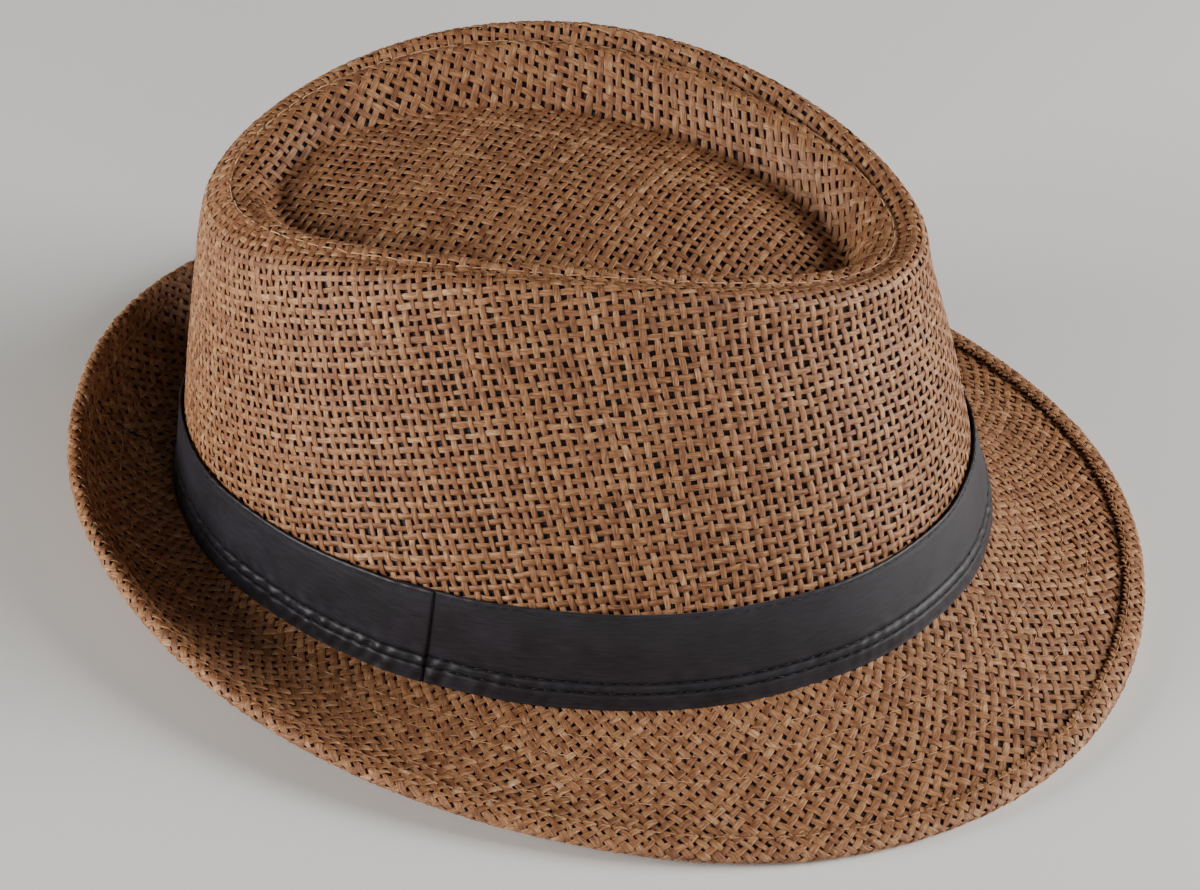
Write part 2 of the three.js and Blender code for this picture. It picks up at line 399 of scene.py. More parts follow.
class CrownSideSkin(NetSkin):
    """Outer face of the crown's side: run 0 is the top seam, and the run goes down."""

    def __init__(self, form: HatForm) -> None:
        """Draws the wall from the top seam over the shoulder to the foot."""
        angle = net_angles()
        reach = form.shoulder_reach.at(angle)
        inset = form.ribbon_lip_flare + form.ribbon_wall + GAP
        foot = form.beside(form.head_seam, angle, -inset, form.wall_foot_height)
        under_ribbon = form.beside(form.ribbon_top, angle, -form.ribbon_wall - GAP, 0)
        lift = form.shoulder_lift.at(angle) + form.rim_lean * np.sin(angle)
        crest, brow, shoulder = (
            form.beside(form.top_seam, angle, out * reach, up * reach + raised)
            for (out, up), raised in (
                (form.rim_crest, lift),
                (form.rim_brow, lift),
                (form.shoulder_foot, 0),
            )
        )
        middle = (under_ribbon + shoulder) / 2
        middle += form.outward(form.top_seam, angle) * form.wall_bulge
        seam = form.beside(form.top_seam, angle, GAP / 2, 0)
        controls = np.array([seam, crest, brow, shoulder, middle, under_ribbon, foot])
        places = np.linspace(0, len(controls) - 1, self.LINE_STEPS)
        super().__init__(spline(controls, places))
        shares = np.linspace(0, 1, self.RUN_STEPS)
        ribbon_heights = form.ribbon_top(angle)[:, 2]
        ribbon_shares = [
            np.interp(-height, -line[:, 2], shares)
            for height, line in zip(ribbon_heights, self.net)
        ]
        self.ribbon_run = np.array(ribbon_shares) * self.lengths

    def ribbon_at(self, angle: Array) -> Array:
        """Run at which the cloth goes under the ribbon."""
        place = np.mod(angle, FULL_TURN) / FULL_TURN * self.TURN_STEPS
        known = np.append(self.ribbon_run, self.ribbon_run[0])
        return np.interp(place, np.arange(self.TURN_STEPS + 1), known)


class CrownTipSkin(NetSkin):
    """Upper face of the crown's tip: run 0 is the top seam, and the run goes inwards."""

    BEYOND_SEAM = 0.8  # how far past the seam a point is still followed
    POLE_RADIUS = 3.0  # distance from the middle within which the bearing is free
    FIND_STEPS = 16
    CLIMB_STEPS = 14
    CLIMB_TURN = 0.2  # most that one step may turn, in radians

    def __init__(self, form: HatForm) -> None:
        """Draws the rim's inner face, the dent's wall and its floor."""
        angle = net_angles()
        reach, depth = form.dent_reach, form.dent_depth.at(angle)
        middle = np.zeros((len(angle), 3)) + [0, form.top_shift_back, form.dent_floor_height]
        seam = form.beside(form.top_seam, angle, -GAP / 2, 0)
        wall = [
            form.beside(form.top_seam, angle, -inwards * reach, -down * depth)
            for inwards, down in form.dent_profile
        ]
        floor = []
        for share in form.dent_floor_shares:
            point = middle + (wall[-1] - middle) * share
            point[:, 2] = middle[:, 2] + (wall[-1][:, 2] - middle[:, 2]) * share**2
            floor.append(point)
        controls = np.array([seam, *wall, *floor, middle])
        places = np.linspace(0, len(controls) - 1, self.LINE_STEPS)
        super().__init__(spline(controls, places), closed_end=True)
        self.normals *= np.sign(self.normals[0, -1, 2])
        across = form.top_seam(angle) - [0, form.top_shift_back, 0]
        self.bearing = np.unwrap(np.arctan2(across[:, 0], -across[:, 1]))
        self.angle = angle
        self.edge = np.hypot(across[:, 0], across[:, 1])
        self.back = form.top_shift_back
        inwards = np.linalg.norm(self.net[..., :2] - seam[:, None, :2], axis=-1)
        runs = np.linspace(0, 1, self.RUN_STEPS) * self.lengths[:, None]
        self.crease_run = np.array([np.interp(reach, *pair) for pair in zip(inwards, runs)])
        self.grain = math.radians(form.tip_grain)
        crease = form.beside(form.top_seam, angle, -reach, 0.0)[:, :2] - [0, self.back]
        self.crease = self.turned(crease, -self.grain)
        self.out = form.outward(form.top_seam, angle)[:, :2]

    @staticmethod
    def turned(plan: Array, angle: float) -> Array:
        """Plan vectors turned by an angle about the vertical."""
        c, s = math.cos(angle), math.sin(angle)
        return plan @ np.array([[c, s], [-s, c]])

    def around(self, table: Array, angle: Array) -> Array:
        """Value of a table kept for the net's angles, at any angle."""
        place = np.mod(angle, FULL_TURN)
        known = np.append(self.angle, FULL_TURN)
        if table.ndim == 1:
            return np.interp(place, known, np.append(table, table[0]))
        return np.stack([self.around(column, angle) for column in table.T], axis=-1)

    def angle_towards(self, x: Array, y: Array) -> Array:
        """Angle of the ring point that lies in each direction from the middle."""
        bearing = np.mod(np.arctan2(x, -y), FULL_TURN)
        known = np.append(self.bearing, self.bearing[0] + FULL_TURN)
        return np.interp(bearing, known, np.append(self.angle, FULL_TURN))

    def find(self, x: Array, y: Array) -> tuple[Array, Array]:
        """Finds the points of the skin above points of the plan.

        Args:
            x: distance from the cloth's middle towards the wearer's left.
            y: distance from the cloth's middle towards the back.

        Returns:
            Angle and run of each point.
        """
        angle = self.angle_towards(x, y)
        radius, bearing = np.hypot(x, y), np.arctan2(x, -y)
        edge = self.around(self.edge, angle)
        beyond = -self.BEYOND_SEAM / edge
        share = np.clip(1 - radius / edge, beyond, 1)
        for _ in range(self.FIND_STEPS):
            point, _ = self.read(angle, share * self.length_at(angle))
            reached = np.hypot(point[..., 0], point[..., 1] - self.back)
            share = np.clip(share + (reached - radius) / edge, beyond, 1)
            seen = np.arctan2(point[..., 0], self.back - point[..., 1])
            miss = np.mod(bearing - seen + math.pi, FULL_TURN) - math.pi
            angle = angle + np.where(radius > self.POLE_RADIUS, miss, 0)
        return angle, share * self.length_at(angle)

    def lay(self, across: Array, along: Array) -> tuple[Array, Array]:
        """Finds where points of the flat cloth lie once it is blocked into the dent.

        Inside the crease the cloth lies flat with its grain turned; from the crease it
        goes square up the wall.

        Args:
            across: distance from the cloth's middle towards the wearer's left.
            along: distance from the cloth's middle towards the back.

        Returns:
            Angle and run of each point; a run below zero lies outside the seam.
        """
        flat = np.stack([across, along], axis=-1)
        plan = self.turned(flat, self.grain)
        angle, run = self.find(plan[..., 0], plan[..., 1])
        climbs = run < self.around(self.crease_run, angle)

        def miss(at: Array) -> Array:
            """How far each point lies beside the line up the wall at an angle."""
            left, out = flat - self.around(self.crease, at), self.around(self.out, at)
            return left[..., 0] * out[..., 1] - left[..., 1] * out[..., 0]

        turn = angle.copy()
        for _ in range(self.CLIMB_STEPS):
            slope = (miss(turn + NUDGE) - miss(turn - NUDGE)) / (2 * NUDGE)
            step = miss(turn) / np.where(slope == 0, 1, slope)
            turn = turn - np.clip(step, -self.CLIMB_TURN, self.CLIMB_TURN)
        left = flat - self.around(self.crease, turn)
        climbed = (left * self.around(self.out, turn)).sum(axis=-1)
        wall_run = self.around(self.crease_run, turn) - climbed
        return np.where(climbs, turn, angle), np.where(climbs, wall_run, run)


class BrimFace(Enum):
    """The two faces of the brim."""

    UPPER = 1
    UNDER = -1


class BrimSkin(Skin):
    """A face of the brim: run 0 is the root, and the run goes outwards."""

    def __init__(self, form: HatForm, face: BrimFace) -> None:
        """Keeps the form and the face."""
        self.form, self.face = form, face

    def read(self, angle: Array, run: Array) -> tuple[Array, Array]:
        """Points and outward normals of the face."""
        lift = 0.0 if self.face is BrimFace.UPPER else -self.form.brim_wall
        point = self.form.brim_point(angle, run, lift)
        normal = unit(self.form.brim_point(angle, run, lift + RISE) - point)
        return point, normal * self.face.value


class BindingSkin(Skin):
    """The folded strip on the brim's edge: run 0 is its hem on the upper face."""

    PUFF = 0.35  # swell of the strip's flat parts
    HEM_DIP = 0.15  # how deep its edges turn under
    HEM_REACH = 0.7  # how far from the edge they begin to turn

    def __init__(self, form: HatForm) -> None:
        """Works out the lengths of the fold."""
        self.form = form
        self.nose = form.binding_nose()
        self.flat = form.binding_width - self.nose
        self.bend = math.pi * self.nose
        self.length = 2 * self.flat + self.bend

    def read(self, angle: Array, run: Array) -> tuple[Array, Array]:
        """Points and outward normals along the upper hem, the nose and the lower hem."""
        turn = np.clip((run - self.flat) / self.nose, 0, math.pi)
        past = np.maximum(run - self.flat - self.bend, 0)
        back = np.maximum(self.flat - run, 0) + past
        width = self.form.brim_width(angle)
        swell = self.PUFF * np.sin(math.pi * np.clip(back / self.flat, 0, 1))
        from_hem = np.minimum(run, self.length - run)
        swell = swell - self.HEM_DIP * hill(from_hem, self.HEM_REACH)

        def at(radius: float) -> Array:
            """Points of the fold at a radius round the brim's edge."""
            along = width - self.nose - back + radius * np.sin(turn)
            lift = -self.form.brim_wall / 2 + (radius + swell) * np.cos(turn)
            return self.form.brim_point(angle, along, lift)

        point = at(self.nose)
        return point, unit(at(self.nose + RISE) - point)


# ---------------------------------------------------------------- mesh helpers


def net_mesh(
    name: str, across: int, along: int, lines_only: bool
) -> tuple[bmesh.types.BMesh, Array, Array]:
    """A flat net of `across` lines with `along` points each.

    Args:
        name: name used in messages.
        across: number of lines.
        along: number of points on each line.
        lines_only: whether to keep only the edges that run along the lines.

    Returns:
        The bmesh, and the line and the place of every vertex.
    """
    bm = bmesh.new()
    bmesh.ops.create_grid(bm, x_segments=along - 1, y_segments=across - 1, size=1)
    if lines_only:
        rungs = [e for e in bm.edges if abs(e.verts[0].co.y - e.verts[1].co.y) > 1e-5]
        bmesh.ops.delete(bm, geom=rungs, context="EDGES")
    bm.verts.index_update()
    place = np.array([v.co[:2] for v in bm.verts])
    low, high = place.min(0), place.max(0)
    place = (place - low) / (high - low)
    line = np.rint(place[:, 1] * (across - 1)).astype(int)
    point = np.rint(place[:, 0] * (along - 1)).astype(int)
    if len(line) != across * along:
        raise ValueError(f"{name}: the net has {len(line)} points, not {across * along}")
    return bm, line, point


def to_mesh(name: str, bm: bmesh.types.BMesh) -> bpy.types.Mesh:
    """A new mesh with what a bmesh holds; the bmesh is freed."""
    mesh = bpy.data.meshes.new(name)
    bm.to_mesh(mesh)
    bm.free()
    return mesh


def to_object(name: str, mesh: bpy.types.Mesh) -> bpy.types.Object:
    """A new object in the scene that holds a mesh."""
    made = bpy.data.objects.new(name, mesh)
    bpy.context.scene.collection.objects.link(made)
    return made


def place_vertices(mesh: bpy.types.Mesh, points: Array) -> None:
    """Moves every vertex of a mesh to its point, in metres."""
    mesh.vertices.foreach_set("co", np.ascontiguousarray(points, np.float32).ravel())
    mesh.update()


def store(mesh: bpy.types.Mesh, name: str, values: Array) -> None:
    """Keeps a number or a vector for every vertex under a name."""
    vector = values.ndim == 2
    kind = "FLOAT_VECTOR" if vector else "FLOAT"
    layer = mesh.attributes.new(name, kind, "POINT")
    layer.data.foreach_set(
        "vector" if vector else "value", np.ascontiguousarray(values, np.float32).ravel()
    )


def lay_pattern(mesh: bpy.types.Mesh, around: Array, across: Array) -> None:
    """Gives a mesh its `cloth` UV map, in metres, from values for every vertex."""
    layer = mesh.uv_layers.new(name="cloth")
    corner = np.empty(len(mesh.loops), np.int64)
    mesh.loops.foreach_get("vertex_index", corner)
    flat = np.stack([around * MM, across * MM], axis=-1)[corner]
    layer.data.foreach_set("uv", flat.astype(np.float32).ravel())


def thicken(bm: bmesh.types.BMesh, points: Array, normals: Array, wall: float) -> None:
    """Turns a sheet's faces outwards and gives it a thickness inwards.

    Args:
        bm: the sheet.
        points: points of the sheet, in metres.
        normals: outward normals at those points, in the wearer's frame.
        wall: thickness in millimetres.
    """
    bm.normal_update()
    bm.faces.ensure_lookup_table()
    probe = bm.faces[len(bm.faces) // 3]
    away = np.linalg.norm(points - np.array(probe.calc_center_median()), axis=1)
    outward = normals[np.argmin(away)] @ REST_TURN.T
    if np.dot(np.array(probe.normal), outward) < 0:
        bmesh.ops.reverse_faces(bm, faces=bm.faces)
    bmesh.ops.solidify(bm, geom=list(bm.faces), thickness=wall * MM)
    for face in bm.faces:
        face.smooth = True


def settle(made: bpy.types.Object) -> bpy.types.Object:
    """Applies an object's modifiers to its mesh."""
    graph = bpy.context.evaluated_depsgraph_get()
    graph.update()
    mesh = bpy.data.meshes.new_from_object(made.evaluated_get(graph))
    name, old = made.name, made.data
    made.modifiers.clear()
    made.data = mesh
    bpy.data.meshes.remove(old)
    mesh.name = name
    return made


def dress(
    piece: bpy.types.Object, slot: str, material: bpy.types.Material, *nodes: str
) -> bpy.types.Object:
    """Gives a piece its material and body, and hides the solids that it stands for.

    Args:
        piece: the finished piece.
        slot: not used.
        material: the finish.
        nodes: names of the solids that it replaces.

    Returns:
        The piece.
    """
    piece.data.materials.clear()
    piece.data.materials.append(material)
    first = np.zeros(len(piece.data.polygons), np.int32)
    piece.data.polygons.foreach_set("material_index", first)
    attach(piece, "root")
    if nodes:
        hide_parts(*nodes)
    triangles = sum(len(p.vertices) - 2 for p in piece.data.polygons)
    log.info("%s: %d triangles", piece.name, triangles)
    return piece


# ---------------------------------------------------------------- materials


def linear(colour: str) -> tuple[float, float, float, float]:
    """Linear colour of an sRGB hex value such as 8f6448."""
    parts = [int(colour[start : start + 2], 16) / 255 for start in (0, 2, 4)]
    curve = [c / 12.92 if c <= 0.04045 else ((c + 0.055) / 1.055) ** 2.4 for c in parts]
    return (*curve, 1.0)


Links = dict[str | int, object]


def add_node(
    tree: bpy.types.NodeTree,
    kind: str,
    inputs: Links | None = None,
    stops: dict[float, str] | None = None,
    **settings: object,
) -> bpy.types.Node:
    """Adds a node with its settings and links.

    Args:
        tree: the node tree.
        kind: type name of the node.
        inputs: value or feeding socket for each input, by name or number.
        stops: sRGB hex colours of a colour ramp, by their places.
        settings: properties of the node.

    Returns:
        The new node.
    """
    node = tree.nodes.new(kind)
    for name, value in settings.items():
        setattr(node, name, value)
    if stops:
        elements = node.color_ramp.elements
        while len(elements) < len(stops):
            elements.new(0.5)
        for element, (place, colour) in zip(elements, sorted(stops.items())):
            element.position = place
            element.color = linear(colour)
    for key, value in (inputs or {}).items():
        if isinstance(value, bpy.types.NodeSocket):
            tree.links.new(value, node.inputs[key])
        else:
            node.inputs[key].default_value = value
    return node


def new_material(name: str) -> tuple[bpy.types.Material, bpy.types.NodeTree]:
    """A material with an empty tree."""
    material = bpy.data.materials.new(name)
    material.use_nodes = True
    material.node_tree.nodes.clear()
    return material, material.node_tree


@dataclass(frozen=True)
class TwistedPaperStraw:
    """Matte flat strand of twisted paper: fine fibres along it and a tint of its own.

    The twist gives the eye fibre lines that slant slightly. Their colour mixes the strand's own
    tint with painted highlight, pale where a fold of the paper would catch the light, and painted
    shade, reddish brown in the hollows between them.
    """

    name: str = "twisted_paper_straw"
    shadow: str = "4c2a1a"
    body: str = "845638"
    light: str = "b1825a"
    pale: str = "eac9a3"
    roughness: float = 0.52
    fibres_per_mm: float = 2.2
    slant: float = 0.14
    relief_mm: float = 0.2
    flatness_mm: float = 0.26  # takes the roundness out of the coarse section

    def build(self) -> bpy.types.Material:
        """Builds the material; it reads the strand's own attributes."""
        material, tree = new_material(self.name)
        tint = add_node(tree, "ShaderNodeAttribute", attribute_name="tint").outputs["Fac"]
        across = add_node(tree, "ShaderNodeAttribute", attribute_name="across").outputs["Fac"]
        lie = add_node(tree, "ShaderNodeAttribute", attribute_name="lie").outputs["Vector"]
        parts = add_node(tree, "ShaderNodeSeparateXYZ", {0: lie}).outputs
        slanted = add_node(
            tree,
            "ShaderNodeMath",
            {0: parts["X"], 1: self.slant, 2: across},
            operation="MULTIPLY_ADD",
        ).outputs[0]
        place = add_node(
            tree, "ShaderNodeCombineXYZ", {"X": parts["X"], "Y": slanted, "Z": parts["Z"]}
        ).outputs[0]
        stretched = add_node(
            tree,
            "ShaderNodeVectorMath",
            {0: place, 1: (0.3, self.fibres_per_mm, 1.0)},
            operation="MULTIPLY",
        ).outputs["Vector"]
        fibre = add_node(
            tree,
            "ShaderNodeTexNoise",
            {"Vector": stretched, "Scale": 1.3, "Detail": 4.0, "Roughness": 0.65},
        ).outputs["Fac"]
        blotch = add_node(
            tree,
            "ShaderNodeTexNoise",
            {"Vector": place, "Scale": 0.22, "Detail": 2.0, "Roughness": 0.5},
        ).outputs["Fac"]
        mixed = add_node(
            tree, "ShaderNodeMath", {0: fibre, 1: 1.9, 2: tint}, operation="MULTIPLY_ADD"
        ).outputs[0]
        shade = add_node(
            tree, "ShaderNodeMath", {0: blotch, 1: 0.6, 2: mixed}, operation="MULTIPLY_ADD"
        ).outputs[0]
        spread = add_node(
            tree,
            "ShaderNodeMapRange",
            {"Value": shade, "From Min": 1.05, "From Max": 2.5},
        ).outputs[0]
        # the pale end is partly painted highlight on the fibres' folds, the shadow end partly
        # painted shade in their hollows
        stops = {0.0: self.shadow, 0.38: self.body, 0.66: self.light, 1.0: self.pale}
        colour = add_node(tree, "ShaderNodeValToRGB", {"Fac": spread}, stops).outputs["Color"]
        square = add_node(
            tree, "ShaderNodeMath", {0: across, 1: across}, operation="MULTIPLY"
        ).outputs[0]
        flatter = add_node(
            tree, "ShaderNodeMath", {0: square, 1: self.flatness_mm}, operation="MULTIPLY"
        ).outputs[0]
        height = add_node(
            tree,
            "ShaderNodeMath",
            {0: fibre, 1: self.relief_mm, 2: flatter},
            operation="MULTIPLY_ADD",
        ).outputs[0]
        bump = add_node(
            tree, "ShaderNodeBump", {"Height": height, "Distance": MM, "Strength": 0.85}
        ).outputs["Normal"]
        shader = add_node(
            tree,
            "ShaderNodeBsdfPrincipled",
            {
                "Base Color": colour,
                "Roughness": self.roughness,
                "IOR": 1.45,
                "Specular IOR Level": 0.45,
                "Normal": bump,
            },
        )
        add_node(tree, "ShaderNodeOutputMaterial", {"Surface": shader.outputs[0]})
        return material


@dataclass(frozen=True)
class BackingCloth:
    """Dark plain-woven backing glued behind the straw; it shows only in the gaps."""

    name: str = "dark_backing_cloth"
    dark: str = "342927"
    light: str = "675a5c"
    thread_mm: float = 0.6  # drawn coarse, as the real thread is about 0.2 mm

    def build(self) -> bpy.types.Material:
        """Builds the material from two crossed sets of threads over the piece's UV map."""
        material, tree = new_material(self.name)
        lie = add_node(tree, "ShaderNodeUVMap", uv_map="cloth").outputs["UV"]
        bands = [
            add_node(
                tree,
                "ShaderNodeTexWave",
                {"Vector": lie, "Scale": FULL_TURN / self.thread_mm / 20 / MM, "Distortion": 0.6},
                bands_direction=axis,
            ).outputs["Fac"]
            for axis in ("X", "Y")
        ]
        threads = add_node(
            tree, "ShaderNodeMath", {0: bands[0], 1: bands[1]}, operation="MULTIPLY"
        ).outputs[0]
        fleck = add_node(
            tree, "ShaderNodeTexNoise", {"Vector": lie, "Scale": 300.0, "Detail": 2.0}
        ).outputs["Fac"]
        shade = add_node(
            tree, "ShaderNodeMath", {0: threads, 1: fleck}, operation="MULTIPLY"
        ).outputs[0]
        stops = {0.1: self.dark, 0.6: self.light}
        colour = add_node(tree, "ShaderNodeValToRGB", {"Fac": shade}, stops).outputs["Color"]
        bump = add_node(
            tree, "ShaderNodeBump", {"Height": threads, "Distance": 0.1 * MM, "Strength": 0.6}
        ).outputs["Normal"]
        shader = add_node(
            tree,
            "ShaderNodeBsdfPrincipled",
            {"Base Color": colour, "Roughness": 0.9, "IOR": 1.45, "Normal": bump},
        )
        add_node(tree, "ShaderNodeOutputMaterial", {"Surface": shader.outputs[0]})
        return material


@dataclass(frozen=True)
class BlackSatin:
    """Black polyester satin: a smooth warp face with a soft, wide purple-grey sheen.

    Where a row of stitches pulls the satin down, its colour is darkened as painted shade, and its
    specular and sheen are lowered there.
    """

    rows_mm: tuple[float, ...]  # heights of the stitch rows above the lower edge
    name: str = "black_polyester_satin"
    dark: str = "151419"
    light: str = "27252d"
    sheen: str = "b9b2c4"
    roughness: float = 0.5
    thread_mm: float = 0.5  # drawn coarse, as the real thread is about 0.1 mm
    stitched_mm: float = 10.0  # height below which the rows lie
    row_shade_mm: float = 0.65  # half the width of the painted shade along each row

    def build(self) -> bpy.types.Material:
        """Builds the material from long warp threads over the ribbon's UV map."""
        material, tree = new_material(self.name)
        lie = add_node(tree, "ShaderNodeUVMap", uv_map="cloth").outputs["UV"]
        long = add_node(
            tree,
            "ShaderNodeVectorMath",
            {0: lie, 1: (220.0, 1 / self.thread_mm / MM, 1.0)},
            operation="MULTIPLY",
        ).outputs["Vector"]
        warp = add_node(
            tree, "ShaderNodeTexNoise", {"Vector": long, "Scale": 1.0, "Detail": 3.0}
        ).outputs["Fac"]
        cloud = add_node(
            tree, "ShaderNodeTexNoise", {"Vector": lie, "Scale": 90.0, "Detail": 3.0}
        ).outputs["Fac"]
        shade = add_node(
            tree, "ShaderNodeMath", {0: warp, 1: cloud}, operation="ADD"
        ).outputs[0]
        spread = add_node(
            tree, "ShaderNodeMapRange", {"Value": shade, "From Min": 0.78, "From Max": 1.22}
        ).outputs[0]
        row_shade = self.painted_row_shade(tree, lie)

        def less(start: bpy.types.NodeSocket | float, loss: float) -> bpy.types.NodeSocket:
            """A value that falls by `loss` under the painted shade of the stitch rows."""
            return add_node(
                tree,
                "ShaderNodeMath",
                {0: row_shade, 1: -loss, 2: start},
                operation="MULTIPLY_ADD",
            ).outputs[0]

        stops = {0.0: self.dark, 1.0: self.light}
        # painted shade: the satin's colour darkens along the stitch rows
        colour = add_node(
            tree, "ShaderNodeValToRGB", {"Fac": less(spread, 0.9)}, stops
        ).outputs["Color"]
        bump = add_node(
            tree, "ShaderNodeBump", {"Height": warp, "Distance": 0.04 * MM, "Strength": 0.5}
        ).outputs["Normal"]
        shader = add_node(
            tree,
            "ShaderNodeBsdfPrincipled",
            {
                "Base Color": colour,
                "Roughness": self.roughness,
                "IOR": 1.5,
                "Specular IOR Level": less(0.42, 0.34),
                "Sheen Weight": less(0.16, 0.15),
                "Sheen Roughness": 0.4,
                "Sheen Tint": linear(self.sheen),
                "Normal": bump,
            },
        )
        add_node(tree, "ShaderNodeOutputMaterial", {"Surface": shader.outputs[0]})
        return material

    def painted_row_shade(
        self, tree: bpy.types.NodeTree, lie: bpy.types.NodeSocket
    ) -> bpy.types.NodeSocket:
        """Mask of the painted shade: white along the stitch rows, black elsewhere, over the UV
        map's height.
        """
        height = add_node(tree, "ShaderNodeSeparateXYZ", {0: lie}).outputs["Y"]
        share = add_node(
            tree, "ShaderNodeMapRange", {"Value": height, "From Max": self.stitched_mm * MM}
        ).outputs[0]
        stops = {0.0: "000000"}
        for row in self.rows_mm:
            for side, colour in ((-1, "000000"), (0, "ffffff"), (1, "000000")):
                stops[(row + side * self.row_shade_mm) / self.stitched_mm] = colour
        return add_node(tree, "ShaderNodeValToRGB", {"Fac": share}, stops).outputs["Color"]


@dataclass(frozen=True)
class SewingThread:
    """Spun thread: two plies that slant along the stitch."""

    name: str
    dark: str
    light: str
    roughness: float = 0.6

    def build(self) -> bpy.types.Material:
        """Builds the material; it reads the stitch's own attributes."""
        material, tree = new_material(self.name)
        tint = add_node(tree, "ShaderNodeAttribute", attribute_name="tint").outputs["Fac"]
        lie = add_node(tree, "ShaderNodeAttribute", attribute_name="lie").outputs["Vector"]
        twist = add_node(
            tree, "ShaderNodeTexNoise", {"Vector": lie, "Scale": 3.0, "Detail": 2.0}
        ).outputs["Fac"]
        shade = add_node(
            tree, "ShaderNodeMath", {0: twist, 1: 0.6, 2: tint}, operation="MULTIPLY_ADD"
        ).outputs[0]
        stops = {0.2: self.dark, 1.1: self.light}
        colour = add_node(tree, "ShaderNodeValToRGB", {"Fac": shade}, stops).outputs["Color"]
        shader = add_node(
            tree,
            "ShaderNodeBsdfPrincipled",
            {"Base Color": colour, "Roughness": self.roughness, "IOR": 1.5},
        )
        add_node(tree, "ShaderNodeOutputMaterial", {"Surface": shader.outputs[0]})
        return material


# ---------------------------------------------------------------- strands


@dataclass(frozen=True)
class StrandSweep:
    """Sweeps a flattened section along lines; it makes each a closed strand."""

    width: float
    thickness: float
    shoulder: float = 0.76  # width of the section's top, as a share of its foot

    def run(self, lines: bpy.types.Object) -> bpy.types.Object:
        """Turns an object's edges into strands.

        Args:
            lines: edges with the attributes side, girth, tint and lie.

        Returns:
            The same object with the finished mesh.
        """
        tree = bpy.data.node_groups.new(f"{lines.name}_sweep", "GeometryNodeTree")
        for way in ("INPUT", "OUTPUT"):
            tree.interface.new_socket("Geometry", in_out=way, socket_type="NodeSocketGeometry")
        source = add_node(tree, "NodeGroupInput").outputs[0]
        curve = add_node(tree, "GeometryNodeMeshToCurve", {"Mesh": source}).outputs[0]
        side, girth = (
            add_node(
                tree, "GeometryNodeInputNamedAttribute", {"Name": name}, data_type=kind
            ).outputs[0]
            for name, kind in (("side", "FLOAT_VECTOR"), ("girth", "FLOAT"))
        )
        turned = add_node(
            tree, "GeometryNodeSetCurveNormal", {"Curve": curve, "Normal": side}, mode="FREE"
        ).outputs[0]
        section = add_node(
            tree,
            "GeometryNodeCurvePrimitiveQuadrilateral",
            {
                "Height": self.thickness * MM,
                "Bottom Width": self.width * MM,
                "Top Width": self.width * self.shoulder * MM,
                "Offset": 0.0,
            },
            mode="TRAPEZOID",
        ).outputs[0]
        corner = add_node(tree, "GeometryNodeInputPosition").outputs[0]
        part = add_node(tree, "ShaderNodeSeparateXYZ", {0: corner}).outputs["X"]
        across = add_node(
            tree, "ShaderNodeMath", {0: part, 1: MM}, operation="DIVIDE"
        ).outputs[0]
        section = add_node(
            tree,
            "GeometryNodeStoreNamedAttribute",
            {"Geometry": section, "Name": "across", "Value": across},
            data_type="FLOAT",
            domain="POINT",
        ).outputs[0]
        swept = add_node(
            tree,
            "GeometryNodeCurveToMesh",
            {"Curve": turned, "Profile Curve": section, "Scale": girth, "Fill Caps": True},
        ).outputs[0]
        smooth = add_node(tree, "GeometryNodeSetShadeSmooth", {"Geometry": swept}).outputs[0]
        add_node(tree, "NodeGroupOutput", {0: smooth})
        lines.modifiers.new("sweep", "NODES").node_group = tree
        settle(lines)
        bpy.data.node_groups.remove(tree)
        return lines


class Running(Enum):
    """Which of the two sets of a weave a strand belongs to."""

    WARP = 1
    WEFT = -1


